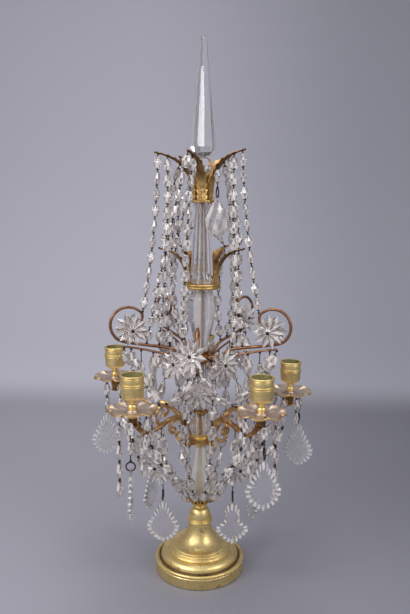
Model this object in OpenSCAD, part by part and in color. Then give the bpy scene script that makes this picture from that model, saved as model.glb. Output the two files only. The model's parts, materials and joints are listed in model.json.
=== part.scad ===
// Five-light girandole: a brass foot, a stack of glass on one rod, five candle arms,
// five wire volutes, two leaf crowns and a tent of strung almonds. Millimetres, +Z up,
// origin on the table at the centre of the foot, front towards -Y.

/* [Foot] */
// Outer radius of the round foot
foot_r = 56; // [48:0.5:70]
// Height of the foot's upright rim
rim_h = 17.5; // [12:0.5:26]
// Thickness of the foot's cast walls
foot_wall = 3; // [2:0.25:5]
// Height of the stepped moulding above the rim
moulding_h = 15; // [10:0.5:24]
// Radius of the moulding where the bell stands on it
bell_foot_r = 36; // [30:0.5:42]
// Height of the flared bell
bell_h = 30.5; // [22:0.5:45]
// Radius of the bell's narrow top
bell_top_r = 14; // [10:0.5:18]
// Height of the domed knob on the bell
dome_h = 22; // [16:0.5:30]
// Radius of the domed knob
dome_r = 16.2; // [12:0.1:20]
// Radius of the dome's neck
dome_neck_r = 7; // [5:0.25:9]

/* [Rod and nut] */
// Radius of the threaded rod that holds the stack
rod_r = 2.5; // [1.5:0.1:3.5]
// Clearance between the rod and every bore on it
rod_gap = 0.4; // [0.2:0.05:0.8]
// Thickness of the washer under the foot
washer_t = 2; // [1:0.25:4]
// Radius of the washer
washer_r = 12; // [8:0.5:18]
// Height of the hexagon nut
nut_h = 5; // [3:0.5:8]
// Radius of the nut across its corners
nut_r = 6; // [5:0.25:9]

/* [Glass stem] */
// Height of the drip bowl
bowl_h = 11; // [8:0.5:16]
// Radius of the drip bowl's rim
bowl_r = 17.2; // [14:0.2:24]
// Thickness of the bowl's wall
bowl_wall = 1.6; // [1:0.1:2.5]
// Number of lobes round the bowl
bowl_lobes = 10; // [6:1:14]
// Height of the glass pear
pear_h = 75; // [60:1:95]
// Greatest radius of the glass pear
pear_r = 15.3; // [11:0.1:18]
// Radius of the pear's narrow top
pear_top_r = 6.9; // [5.5:0.1:9]
// Height of the arm hub
hub_h = 14; // [12:0.5:20]
// Distance from the axis to the hub's five flats
hub_flat = 12; // [9:0.25:15]
// Radius of the glass ball above the arm hub
hub_ball_r = 14; // [10:0.25:16]
// Thickness of the disc over the glass ball
cap_h = 5; // [3:0.25:8]
// Radius of the disc over the glass ball
cap_r = 10; // [8:0.25:14]
// Height of the short glass column
mid_h = 59; // [45:1:75]
// Radius of the short glass column
mid_r = 9.5; // [7:0.25:12]
// Height of the branch hub
branch_hub_h = 16; // [14:0.5:22]
// Distance from the axis to the branch hub's five flats
branch_flat = 11; // [8:0.25:14]
// Height of the glass urn
urn_h = 77; // [60:1:95]
// Radius of the urn's shoulder
urn_r = 18.3; // [14:0.1:22]
// Radius of the urn's foot
urn_foot_r = 8.6; // [6.5:0.1:11]
// Height of the fluted glass column
column_h = 95; // [75:1:120]
// Radius of the column's foot
column_r = 14.5; // [11:0.1:18]
// Radius of the column's top
column_top_r = 8.2; // [6:0.1:11]
// Number of flutes round the column
flutes = 12; // [8:1:16]
// Depth of a flute at the column's foot
flute_depth = 0.9; // [0.3:0.1:1.4]

/* [Crowns] */
// Height of the lower crown's ring
low_ring_h = 7; // [4:0.5:10]
// Radius of the lower crown's ring
low_ring_r = 22.7; // [18:0.1:28]
// Height of the upper crown's ring
top_ring_h = 3.5; // [2.5:0.25:6]
// Radius of the upper crown's ring
top_ring_r = 14.8; // [12:0.1:20]
// Reach of a lower leaf's tip from the axis
low_leaf_reach = 53; // [44:0.5:62]
// Rise of a lower leaf's tip above its ring
low_leaf_rise = 43; // [30:0.5:55]
// Reach of an upper leaf's tip from the axis
top_leaf_reach = 54; // [44:0.5:62]
// Rise of an upper leaf's tip above its ring
top_leaf_rise = 54; // [40:0.5:65]
// Greatest width of a leaf
leaf_w = 15; // [10:0.5:20]
// Thickness of the leaves' sheet brass
leaf_t = 0.9; // [0.6:0.1:1.6]
// Sideways bend of the front upper leaf, in degrees
front_leaf_bend = -16; // [-25:1:0]
// How far the right upper leaf is bent up and in
right_leaf_lift = 4; // [0:0.5:8]
// How far the left upper leaf is bent out
left_leaf_spread = 3.5; // [0:0.5:7]

/* [Spire] */
// Height of the brass socket under the spire
socket_h = 29.5; // [20:0.5:40]
// Radius of the brass socket
socket_r = 8; // [6:0.25:11]
// Radius of the cut ball under the spire
ball_r = 11.2; // [9:0.1:14]
// Height of the spire with its bevelled foot
spire_h = 134; // [100:1:170]
// Half width of the spire across its broad faces at the shoulder
spire_r = 12.7; // [10:0.1:18]
// Half width of the spire across its broad faces at the tip
spire_tip_r = 3.4; // [2.5:0.1:6]
// Height of the bevel below the spire's shoulder
spire_bevel = 10; // [6:0.5:16]

/* [Candle arms] */
// Radius from the axis to the candle cups
cup_reach = 119.6; // [105:0.5:135]
// Height of the arms' outer ends above the hub's middle
arm_rise = 66; // [55:0.5:78]
// Radius of an arm's round section
arm_r = 2.7; // [2:0.1:3.6]
// Radius of the leafy sheath at an arm's outer end
sheath_r = 5; // [4:0.1:6]
// How far the bent back right arm hangs below the others
arm_drop = 15; // [0:0.5:20]
// Outer radius of the drip pans
pan_r = 28; // [22:0.5:34]
// Thickness of a pan's boss
pan_boss_h = 4; // [3:0.25:6]
// Thickness of a pan's sheet
pan_t = 1.3; // [0.8:0.1:2]
// Number of petals round a pan
pan_petals = 8; // [6:1:12]
// Depth of the scallops between a pan's petals, as a share of its radius
pan_scallop = 0.14; // [0.05:0.01:0.2]
// How far a petal's tip turns up
pan_rise = 2.2; // [1:0.1:4]
// How much further the pan turns up between its petals
pan_ruffle = 2.4; // [0:0.1:4]

/* [Candle cups] */
// Diameter of the candles that the cups take
candle_d = 22; // [18:0.5:25]
// Clearance all round a candle
candle_gap = 0.5; // [0.2:0.1:1]
// Wall of a candle cup
cup_wall = 1.8; // [1.2:0.1:2.5]
// Height of a cup's straight body
cup_body_h = 24; // [18:0.5:32]
// Thickness of a cup's floor
cup_floor = 4; // [2.5:0.25:6]
// Height of a cup's foot below the body
cup_foot_h = 15.4; // [12:0.2:22]
// Radius of the stud that screws a cup to its arm
stud_r = 2; // [1.5:0.1:2.8]

/* [Volutes] */
// Radius from the axis to the middle of a volute
volute_reach = 90; // [80:0.5:100]
// Height of a volute's middle above the branch hub's middle
volute_rise = 44; // [38:0.5:54]
// Radius of a volute's curl
volute_r = 21; // [17:0.5:25]
// Thickness of the round foot that a volute's wires spring from
branch_foot_t = 2.4; // [1.5:0.1:4]
// Radius of the volute wire
wire_r = 1.8; // [1.2:0.1:2.4]
// How far the front volute sags below the others
front_sag = 13; // [0:0.5:18]
// Outer radius of the glass rosettes
rosette_r = 19; // [14:0.5:24]
// Thickness of a rosette at its middle
rosette_t = 9; // [6:0.25:12]
// Number of petals on a rosette
rosette_petals = 8; // [6:1:12]
// Radius of the pins that carry the rosettes
rosette_pin_r = 1; // [0.7:0.1:1.5]
// Gap between a rosette's heel and what carries it
rosette_gap = 1.6; // [1:0.1:3]
// Radius from the axis to the rosettes on the branch hub's corners
hub_rosette_reach = 44; // [36:0.5:54]

/* [Strung almonds] */
// Length of a strung almond
bead_len = 14; // [10:0.5:18]
// Width of a strung almond
bead_w = 9.4; // [6:0.2:12]
// Thickness of a strung almond
bead_t = 6; // [4:0.2:8]
// Width of an almond's cut ends
bead_end = 1.6; // [1.2:0.1:2]
// Shortest wire pin between two almonds
pin_len = 4; // [3:0.25:8]
// Radius of the wire pins
pin_r = 0.55; // [0.4:0.05:0.8]
// Clearance between a pin's end and what it holds
pin_gap = 0.25; // [0.1:0.05:0.4]
// Clearance between a string's last pin and the metal it is tied to
tie_gap = 0.6; // [0.4:0.05:0.8]
// Length of a middling almond, as on the lesser strings of the swags and the basket
mid_bead_len = 17.5; // [13:0.5:22]
// Width of a middling almond
mid_bead_w = 10.25; // [8:0.25:13]
// Thickness of a middling almond
mid_bead_t = 6.5; // [4:0.25:9]
// Length of a long almond, as on the swags and the basket
long_bead_len = 21; // [16:0.5:26]
// Width of a long almond
long_bead_w = 14; // [10:0.5:17]
// Thickness of a long almond
long_bead_t = 8; // [5:0.25:10]
// Turn from one strung almond to the next, in degrees
bead_twist = 35; // [0:5:45]
// Fall of the single almonds under the hook wires
pendant_fall = 46; // [42:0.5:46]
// Radius from the axis to the basket's knees
knee_reach = 70; // [62:0.5:78]
// Depth of the basket's knees below the arm hub
knee_drop = 4; // [0:0.5:12]
// How far the strings between the arms bow out from the stem
fall_bow = 27; // [20:0.5:34]
// How far the two strings beside the front bow out
front_fall_bow = 31; // [28:0.5:34]

/* [Hanging plaques] */
// Height of the plaques under the arms
outer_plaque_h = 64; // [50:1:75]
// Width of the plaques under the arms
outer_plaque_w = 38; // [28:1:46]
// Height of the plaques on the basket
inner_plaque_h = 58; // [45:1:66]
// Width of the plaques on the basket
inner_plaque_w = 37; // [28:1:44]
// Thickness of a plaque at its bevelled edge
plaque_edge_t = 2.4; // [1.6:0.2:3.6]
// Thickness of a plaque at its flat middle
plaque_t = 4.6; // [3.6:0.2:6.5]
// Notches along each side of a plaque
plaque_notches = 7; // [4:1:10]
// Width of a plaque's bevel
plaque_bevel = 4; // [2:0.25:6]
// Half width of a plaque's blunt top
plaque_tip = 4; // [3.6:0.1:5]
// Radius of the hole that a plaque hangs by
plaque_hole_r = 1.7; // [1.5:0.05:2.2]
// Distance from a plaque's top to its hole
plaque_hole_drop = 5; // [4:0.25:7]
// Radius of the wire rings that carry the plaques
ring_r = 5; // [4.2:0.1:6]
// Radius of the wire in those rings
ring_wire_r = 0.8; // [0.5:0.05:1]
// Height of the large almond drop
drop_h = 46; // [34:1:56]
// Width of the large almond drop
drop_w = 28; // [20:1:34]
// Thickness of the large almond drop
drop_t = 10; // [7:0.5:13]

/* [Hidden] */
$fn = 64;

// Five arms stand at these bearings and the volutes halfway between, front towards -90
arm_names = ["front_right", "back_right", "back", "back_left", "front_left"];
arm_bearing = [for (k = [0:4]) -54 + 72 * k];
volute_names = ["front", "right", "rear_right", "rear_left", "left"];
volute_bearing = [for (k = [0:4]) -90 + 72 * k];
front = 0;
right = 1;
left = 4;
bent_arm = 1;

// Heights of the stack, from the table up
bell_z = rim_h + moulding_h;
dome_z = bell_z + bell_h;
bowl_z = dome_z + dome_h;
pear_z = bowl_z + bowl_wall + 2.4;
hub_z = pear_z + pear_h;
hub_ball_z = hub_z + hub_h;
cap_z = hub_ball_z + 2 * hub_ball_r;
mid_z = cap_z + cap_h;
branch_hub_z = mid_z + mid_h;
urn_z = branch_hub_z + branch_hub_h;
low_ring_z = urn_z + urn_h;
column_z = low_ring_z + low_ring_h;
top_ring_z = column_z + column_h;
socket_z = top_ring_z + top_ring_h;
ball_z = socket_z + socket_h;
spire_z = ball_z + 2 * ball_r - 1.4;
bore_r = rod_r + rod_gap;
rod_foot_z = rim_h - foot_wall - washer_t - nut_h - 3;
rod_top_z = ball_z + 0.6 * ball_r;

// Heights and radii that several pieces share
arm_root_z = hub_z + hub_h / 2;
arm_end_z = arm_root_z + arm_rise;
pan_z = arm_end_z;
cup_z = pan_z + pan_boss_h;
cup_in_r = candle_d / 2 + candle_gap;
cup_r = cup_in_r + cup_wall;
branch_root_z = branch_hub_z + branch_hub_h / 2;
volute_z = branch_root_z + volute_rise;
stud_gap = 0.1;
hang_gap = 0.3;
pan_boss_r = sheath_r + 1.5;
wire_root_r = branch_flat + branch_foot_t / 3;
leaf_inset = 3;
leaf_cup = 0.3;
knee_tail = 4;
knee_stand = 6;
hub_socket_r = 9;
pan_hang = 0.76;
chain_hang = 0.5;
hub_string_reach = 22;
front_fall_turn = 13;
front_close = 0.11;

// How the plaques and the drop have come to rest: the turn of each face, the waist, the
// place of the outer chains round their pans and the fall of those chains
outer_turn = [-82, -110, 90, -66, 4];
inner_turn = [-86, 18, 90, 162, -92];
inner_waist = [0.34, 0, 0.34, 0, 0];
chain_turn = [-22, 0, 0, 0, 35];
outer_fall = [35, 31, 36, 37, 52];
inner_fall = 31;
drop_turn = -72;
drop_side = -0.9;
drop_fall = 27;

// Colours as the photograph shows them
brass = [0.66, 0.55, 0.29];
bronze = [0.45, 0.33, 0.16];
copper = [0.55, 0.36, 0.23];
patina = [0.56, 0.50, 0.42];
clear = [0.86, 0.85, 0.88, 0.55];
iron = [0.20, 0.18, 0.17];

// Curves and frames

function unit(v) = v / norm(v);
function polar(r, bearing, z) = [r * cos(bearing), r * sin(bearing), z];
function clamp(i, n) = min(max(i, 0), n - 1);
function mix(a, b, t) = a * (1 - t) + b * t;
function smooth(t) = let (u = min(max(t, 0), 1)) u * u * (3 - 2 * u);

// Point of a Catmull-Rom curve through pts, t of the way along span i
function on_span(pts, i, t) =
    let (n = len(pts),
         a = pts[clamp(i - 1, n)], b = pts[clamp(i, n)],
         c = pts[clamp(i + 1, n)], d = pts[clamp(i + 2, n)])
    0.5 * (2 * b + (c - a) * t + (2 * a - 5 * b + 4 * c - d) * t * t
           + (3 * b - a - 3 * c + d) * t * t * t);

// Curve through pts with that many steps a span
function curve(pts, steps) = [
    for (i = [0:len(pts) - 2]) for (s = [0:steps - 1]) on_span(pts, i, s / steps),
    pts[len(pts) - 1]
];

// Points along a circle arc from angle a to angle b
function arc(centre, r, a, b, steps) = [
    for (i = [0:steps]) centre + r * [cos(mix(a, b, i / steps)), sin(mix(a, b, i / steps))]
];

// Solid of revolution of an outline in radius and height
module lathe(outline) {
    rotate_extrude() polygon(outline);
}

// Length of the rod's bore through a piece from z by h
module bored(z, h) {
    difference() {
        children();
        translate([0, 0, z - 1]) cylinder(r = bore_r, h = h + 2);
    }
}

// Tube of varying radius along a path in the XZ plane, its ends square to the path
module tube(path, radii, sides) {
    n = len(path);
    tangent = [for (i = [0:n - 1]) unit(path[clamp(i + 1, n)] - path[clamp(i - 1, n)])];
    points = [
        for (i = [0:n - 1]) for (j = [0:sides - 1])
            let (a = 360 * j / sides, out = radii[i] * cos(a), t = tangent[i])
            [path[i][0] - out * t[1], radii[i] * sin(a), path[i][1] + out * t[0]]
    ];
    walls = [
        for (i = [0:n - 2]) for (j = [0:sides - 1])
            let (a = i * sides + j, b = i * sides + (j + 1) % sides)
            each [[a, b, b + sides], [a, b + sides, a + sides]]
    ];
    caps = [[for (j = [sides - 1:-1:0]) j], [for (j = [0:sides - 1]) (n - 1) * sides + j]];
    polyhedron(points, concat(walls, caps));
}

// Radii that run from a to b to c along a path of n points, b at the middle
function swell(a, b, c, n) = [
    for (i = [0:n - 1]) let (t = 2 * i / (n - 1)) t < 1 ? mix(a, b, smooth(t)) : mix(b, c, smooth(t - 1))
];

// Closed sheet between two grids of points, joined round when wrapped
module sheet(top, under, wrapped = false) {
    rows = len(top);
    cols = len(top[0]);
    last = wrapped ? cols - 1 : cols - 2;
    skin = [for (side = [top, under]) for (row = side) for (p = row) p];
    function up(i, j) = i * cols + j % cols;
    function down(i, j) = rows * cols + up(i, j);
    upper = [for (i = [0:rows - 2]) for (j = [0:last])
        each [[up(i, j), up(i + 1, j + 1), up(i + 1, j)], [up(i, j), up(i, j + 1), up(i + 1, j + 1)]]];
    lower = [for (i = [0:rows - 2]) for (j = [0:last])
        each [[down(i, j), down(i + 1, j), down(i + 1, j + 1)], [down(i, j), down(i + 1, j + 1), down(i, j + 1)]]];
    first_edge = [for (j = [0:last])
        each [[up(0, j), down(0, j + 1), up(0, j + 1)], [up(0, j), down(0, j), down(0, j + 1)]]];
    end_edge = [for (j = [0:last]) let (e = rows - 1)
        each [[up(e, j), up(e, j + 1), down(e, j + 1)], [up(e, j), down(e, j + 1), down(e, j)]]];
    sides = wrapped ? [] : [for (i = [0:rows - 2]) let (e = cols - 1)
        each [[up(i, 0), up(i + 1, 0), down(i + 1, 0)], [up(i, 0), down(i + 1, 0), down(i, 0)],
              [up(i, e), down(i + 1, e), up(i + 1, e)], [up(i, e), down(i, e), down(i + 1, e)]]];
    polyhedron(skin, concat(upper, lower, first_edge, end_edge, sides));
}

// Turns children's +Z to lie along d and moves them to p
module along(p, d) {
    u = unit(d);
    translate(p) rotate([0, acos(u[2]), atan2(u[1], u[0])]) children();
}

// Foot and rod

module foot_plinth() {
    bead = 1.4;
    groove_r = foot_r - 5;
    round_r = moulding_h * 0.55;
    step = moulding_h * 0.45 / 2;
    outside = concat(
        [[foot_r - 0.6, 0], [foot_r, 0.8], [foot_r, rim_h - 2 * bead]],
        arc([foot_r - bead, rim_h - bead], bead, -10, 170, 8),
        [[groove_r, rim_h - 2 * bead], [groove_r - 1.5, rim_h - 2 * bead]],
        arc([bell_foot_r + 5, rim_h], round_r, 0, 90, 8),
        [[bell_foot_r + 3.4, rim_h + round_r], [bell_foot_r + 3.4, rim_h + round_r + step],
         [bell_foot_r + 1.6, rim_h + round_r + step], [bell_foot_r + 1.6, bell_z], [bore_r, bell_z]]
    );
    inside = [
        [bore_r, rim_h - foot_wall], [washer_r + 2, rim_h - foot_wall],
        [foot_r - 2 * foot_wall, rim_h - foot_wall - 1], [foot_r - foot_wall, 0]
    ];
    color(brass) lathe(concat(outside, inside));
}

module bell_stem() {
    flare = bell_h - 1;
    color(brass) lathe(concat(
        [[bore_r, bell_z], [bell_foot_r, bell_z], [bell_foot_r, bell_z + 1]],
        [for (a = [80:-10:0]) [bell_top_r + (bell_foot_r - bell_top_r) * (1 - cos(a) * 0.999),
                               bell_z + 1 + flare * (1 - sin(a))]],
        [[bore_r, dome_z]]
    ));
}

module dome_knob() {
    collar = 3;
    neck = 2.4;
    rise = dome_h - collar - neck;
    color(brass) lathe(concat(
        [[bore_r, dome_z], [dome_r - 0.8, dome_z], [dome_r, dome_z + 0.8], [dome_r, dome_z + collar - 0.8],
         [dome_r - 0.8, dome_z + collar]],
        [for (a = [0:10:60]) [dome_neck_r + (dome_r - 1.2 - dome_neck_r) * cos(a * 1.5),
                              dome_z + collar + rise * sin(a * 1.5)]],
        [[dome_neck_r, bowl_z], [bore_r, bowl_z]]
    ));
}

module foot_washer() {
    z = rim_h - foot_wall - washer_t;
    color(brass) bored(z, washer_t) translate([0, 0, z]) cylinder(r = washer_r, h = washer_t);
}

module foot_nut() {
    z = rim_h - foot_wall - washer_t - nut_h;
    color(brass) bored(z, nut_h) translate([0, 0, z]) cylinder(r = nut_r, h = nut_h, $fn = 6);
}

module centre_rod() {
    color(brass) translate([0, 0, rod_foot_z]) cylinder(r = rod_r, h = rod_top_z - rod_foot_z);
}

// Glass stem

module drip_bowl() {
    lobe_r = bowl_r * sin(180 / bowl_lobes) * 0.62;
    bowl = concat(
        [[bore_r, bowl_z], [dome_neck_r, bowl_z], [dome_neck_r + 1, bowl_z + 1]],
        arc([dome_neck_r + 1, bowl_z + bowl_h], bowl_h - 1, -80, -8, 6),
        [[bowl_r, bowl_z + bowl_h - 1], [bowl_r, bowl_z + bowl_h], [bowl_r - bowl_wall, bowl_z + bowl_h]],
        arc([dome_neck_r + 1, bowl_z + bowl_h], bowl_h - 1 - bowl_wall, -12, -72, 6),
        [[dome_neck_r, pear_z], [bore_r, pear_z]]
    );
    color(brass) difference() {
        lathe(bowl);
        for (k = [0:bowl_lobes - 1]) rotate(360 * k / bowl_lobes)
            translate([bowl_r + lobe_r * 0.45, 0, bowl_z + bowl_h / 2]) cylinder(r = lobe_r, h = bowl_h);
    }
}

module glass_pear() {
    side = curve([
        [dome_neck_r - 1, pear_z], [pear_r * 0.72, pear_z + pear_h * 0.06], [pear_r, pear_z + pear_h * 0.26],
        [mix(pear_r, pear_top_r, 0.35), pear_z + pear_h * 0.52], [mix(pear_r, pear_top_r, 0.82), pear_z + pear_h * 0.8],
        [pear_top_r, pear_z + pear_h]
    ], 3);
    color(clear) lathe(concat([[bore_r, pear_z]], side, [[bore_r, pear_z + pear_h]]));
}

// Five-sided block on the axis with its flats at the given bearings
module five_flats(flat, bearing, z, h) {
    translate([0, 0, z]) rotate(bearing + 36) cylinder(r = flat / cos(36), h = h, $fn = 5);
}

module arm_hub() {
    lip = 3;
    color(brass) bored(hub_z, hub_h) {
        lathe([[0, hub_z], [pear_top_r + 1.4, hub_z], [pear_top_r + 1.4, hub_z + lip], [0, hub_z + lip]]);
        five_flats(hub_flat, arm_bearing[0], hub_z + lip, hub_h - 2 * lip);
        lathe([[0, hub_z + hub_h - lip], [pear_top_r + 0.8, hub_z + hub_h - lip],
               [pear_top_r + 0.8, hub_z + hub_h], [0, hub_z + hub_h]]);
    }
}

// Ball cut with bands of facets, standing on small flats
module cut_ball(r, z) {
    belt = [for (a = [-75:30:75]) [r * cos(a), z + r + r * sin(a) / sin(75)]];
    color(clear) bored(z, 2 * r) lathe(concat([[0, z]], belt, [[0, z + 2 * r]]));
}

module hub_ball() {
    cut_ball(hub_ball_r, hub_ball_z);
}

module hub_cap() {
    color(bronze) lathe([
        [bore_r, cap_z], [cap_r - 3, cap_z], [cap_r, cap_z + cap_h * 0.35], [cap_r, cap_z + cap_h * 0.65],
        [cap_r - 2, cap_z + cap_h], [bore_r, cap_z + cap_h]
    ]);
}

module mid_column() {
    side = curve([[mid_r * 0.8, mid_z], [mid_r, mid_z + mid_h * 0.2], [mid_r * 0.9, mid_z + mid_h * 0.6],
                  [mid_r * 0.66, mid_z + mid_h]], 3);
    color(clear) lathe(concat([[bore_r, mid_z]], side, [[bore_r, mid_z + mid_h]]));
}

module branch_hub() {
    z = branch_hub_z;
    lip = 4;
    color(bronze) difference() {
        bored(z, branch_hub_h) {
            lathe([[0, z], [mid_r * 0.66 + 1.2, z], [branch_flat * 0.8, z + lip + 1],
                   [branch_flat * 0.72, z + branch_hub_h - lip - 1], [urn_foot_r + 1.6, z + branch_hub_h],
                   [0, z + branch_hub_h]]);
            intersection() {
                five_flats(branch_flat, volute_bearing[front], z + lip, branch_hub_h - 2 * lip);
                five_flats(branch_flat * 1.12, arm_bearing[0], z, branch_hub_h);
            }
        }
        for (a = arm_bearing) rotate(a) translate([hub_socket_r, 0, branch_root_z])
            rotate([0, 90, 0]) cylinder(r = rosette_pin_r + stud_gap, h = branch_flat);
    }
}

module glass_urn() {
    side = curve([
        [urn_foot_r, urn_z], [urn_foot_r + 1.2, urn_z + urn_h * 0.18],
        [mix(urn_foot_r, urn_r, 0.66), urn_z + urn_h * 0.46], [urn_r, urn_z + urn_h * 0.72],
        [urn_r * 0.9, urn_z + urn_h * 0.86], [urn_r * 0.72, urn_z + urn_h * 0.93], [urn_r * 0.7, urn_z + urn_h]
    ], 3);
    color(clear) lathe(concat([[bore_r, urn_z]], side, [[bore_r, urn_z + urn_h]]));
}

module fluted_column() {
    foot = column_h * 0.03;
    color(clear) difference() {
        lathe([[bore_r, column_z], [column_r, column_z], [column_r, column_z + foot],
               [column_top_r, top_ring_z], [bore_r, top_ring_z]]);
        for (k = [0:flutes - 1]) rotate(360 * (k + 0.5) / flutes)
            flute();
    }
}

// Straight groove that leans with the column's side
module flute() {
    r = column_r * sin(180 / flutes) * 0.8;
    lean = atan2(column_r - column_top_r, column_h);
    translate([column_r + r - flute_depth, 0, column_z])
        rotate([0, -lean, 0]) translate([0, 0, column_h * 0.08]) cylinder(r = r, h = column_h * 0.86);
}

// Crowns

module crown_ring(r, z, h) {
    lip = h * 0.25;
    color(brass) bored(z, h) lathe([
        [0, z], [r - 1.2, z], [r, z + lip], [r, z + h - lip], [r - 0.8, z + h], [0, z + h]
    ]);
}

module lower_crown_ring() {
    crown_ring(low_ring_r, low_ring_z, low_ring_h);
}

module upper_crown_ring() {
    crown_ring(top_ring_r, top_ring_z, top_ring_h);
}

// Line of a leaf in radius and height: upright from its ring, then over and out to the tip
function leaf_line(root_r, z, reach, rise) = curve([
    [root_r, z], [root_r + 0.5, z + rise * 0.25], [mix(root_r, reach, 0.12), z + rise * 0.52],
    [mix(root_r, reach, 0.34), z + rise * 0.76], [mix(root_r, reach, 0.66), z + rise * 0.92], [reach, z + rise]
], 3);

// Half width of a leaf with its cut teeth, at step i of n
function leaf_half(i, n) =
    let (t = i / n, body = mix(0.62, 1, smooth(t / 0.45)) * (1 - smooth((t - 0.5) / 0.52) * 0.9))
    leaf_w / 2 * body * (i % 2 == 0 || t < 0.2 ? 1 : 0.84);

// One leaf: a hollow-backed strip whose edges turn in, bent sideways by sway degrees at its tip
module leaf(root_r, z, reach, rise, sway = 0) {
    line = leaf_line(root_r, z, reach, rise);
    n = len(line) - 1;
    across = [-1, -0.5, 0, 0.5, 1];
    function skin(side) = [
        for (i = [0:n]) let (t = unit(line[clamp(i + 1, n + 1)] - line[clamp(i - 1, n + 1)]))
            [for (c = across)
                let (lift = side * leaf_t / 2 + leaf_half(i, n) * leaf_cup * c * c,
                     r = line[i][0] - (i == 0 ? side * leaf_t / 2 : lift * t[1]),
                     h = i == 0 ? z : line[i][1] + lift * t[0],
                     turn = sway * smooth(i / n),
                     y = leaf_half(i, n) * c)
                [r * cos(turn) - y * sin(turn), r * sin(turn) + y * cos(turn), h]]
    ];
    sheet(skin(1), skin(-1));
}

module lower_crown_leaves() {
    for (k = [1:4]) rotate(volute_bearing[k])
        color(bronze) leaf(low_ring_r - leaf_inset, column_z, low_leaf_reach, low_leaf_rise);
}

// Reach, rise and sideways bend of upper leaf k
function top_reach(k) = top_leaf_reach + (k == left ? left_leaf_spread : k == right ? -right_leaf_lift / 2 : 0);
function top_rise(k) = top_leaf_rise + (k == right ? right_leaf_lift : 0);
function top_sway(k) = k == front ? front_leaf_bend : 0;

module upper_crown_leaves() {
    for (k = [0:4]) rotate(volute_bearing[k])
        color(bronze) leaf(top_ring_r - leaf_inset, socket_z, top_reach(k), top_rise(k), top_sway(k));
}

// Spire

module spire_socket() {
    z = socket_z;
    color(brass) bored(z, socket_h) lathe([
        [0, z], [socket_r * 0.9, z], [socket_r * 0.9, z + 2], [socket_r * 0.6, z + socket_h * 0.3],
        [socket_r * 0.7, z + socket_h * 0.7], [socket_r, z + socket_h - 2], [socket_r, z + socket_h], [0, z + socket_h]
    ]);
}

module spire_ball() {
    z = ball_z;
    flat = ball_r * 0.55;
    belt = [for (a = [-60:20:60]) [ball_r * cos(a), z + (spire_z - z) * (0.5 + sin(a) / 2 / sin(60) * 0.94)]];
    color(clear) difference() {
        lathe(concat([[0, z], [flat, z]], belt, [[flat, spire_z], [0, spire_z]]));
        translate([0, 0, z - 1]) cylinder(r = bore_r, h = rod_top_z - z + 1 + rod_gap);
    }
}

// Square with cut corners, half width h across its faces
function cut_square(h, z) = let (e = h * 0.55) [
    [h, -e, z], [h, e, z], [e, h, z], [-e, h, z], [-h, e, z], [-h, -e, z], [-e, -h, z], [e, -h, z]
];

module spire() {
    levels = [[spire_r * 0.56, spire_z], [spire_r, spire_z + spire_bevel],
              [spire_tip_r, spire_z + spire_h - spire_tip_r], [spire_tip_r * 0.25, spire_z + spire_h]];
    points = [for (l = levels) each cut_square(l[0], l[1])];
    walls = [for (i = [0:2]) for (j = [0:7]) let (a = 8 * i + j, b = 8 * i + (j + 1) % 8)
        each [[a, b + 8, b], [a, a + 8, b + 8]]];
    ends = [[for (j = [0:7]) j], [for (j = [7:-1:0]) 24 + j]];
    color(clear) rotate(38) polyhedron(points, concat(walls, ends));
}

// Candle arms

// How far arm k hangs down at radius r
function droop(k, r) = k == bent_arm ? arm_drop * smooth((r - hub_flat - 4) / (cup_reach - hub_flat - 14)) : 0;

// Shares of the arm's reach and rise turned into radius and height on arm k
function arm_point(k, out, up) =
    let (r = mix(hub_flat, cup_reach, out)) [r, arm_root_z + up * arm_rise - droop(k, r)];
function arm_curve(k, shares, steps) = curve([for (s = shares) arm_point(k, s[0], s[1])], steps);

arm_steps = 2;
arm_line = [[0, 0], [0.01, 0], [0.02, 0], [0.045, 0.03], [0.085, 0.2], [0.17, 0.43], [0.29, 0.605], [0.43, 0.64],
            [0.575, 0.575], [0.75, 0.545], [0.885, 0.645], [0.965, 0.83], [1, 0.92], [1, 0.96], [1, 1]];
arm_basket_step = 16;
arm_loose_step = 19;
arm_scroll = [[0.53, 0.6], [0.63, 0.66], [0.67, 0.78], [0.625, 0.9], [0.54, 0.93], [0.465, 0.875], [0.455, 0.79],
              [0.5, 0.755]];
arm_curl = [[0.31, 0.6], [0.41, 0.55], [0.425, 0.43], [0.375, 0.36], [0.335, 0.41], [0.365, 0.46]];
hub_curl = [[0.06, 0.13], [0.09, -0.02], [0.16, -0.06], [0.2, 0.02], [0.165, 0.08]];

module arm(k) {
    main = arm_curve(k, arm_line, arm_steps);
    n = len(main);
    body = [for (i = [0:n - 1]) let (t = i / (n - 1))
        t < 0.7 ? mix(arm_r * 1.15, arm_r, t / 0.7) : mix(arm_r, sheath_r, smooth((t - 0.7) / 0.18))];
    scroll = arm_curve(k, arm_scroll, arm_steps);
    curl = arm_curve(k, arm_curl, arm_steps);
    foot = arm_curve(k, hub_curl, arm_steps);
    color(brass) rotate(arm_bearing[k]) {
        tube(main, body, 8);
        tube(scroll, swell(arm_r * 0.8, arm_r * 0.85, arm_r * 0.6, len(scroll)), 6);
        tube(curl, swell(arm_r * 0.8, arm_r * 0.8, arm_r * 0.55, len(curl)), 6);
        tube(foot, swell(arm_r * 0.8, arm_r * 0.8, arm_r * 0.55, len(foot)), 6);
    }
}

// Puts children at the end of arm k, on the axis of its cup
module at_cup(k) {
    rotate(arm_bearing[k]) translate([cup_reach, 0, -droop(k, cup_reach)]) children();
}

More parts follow.
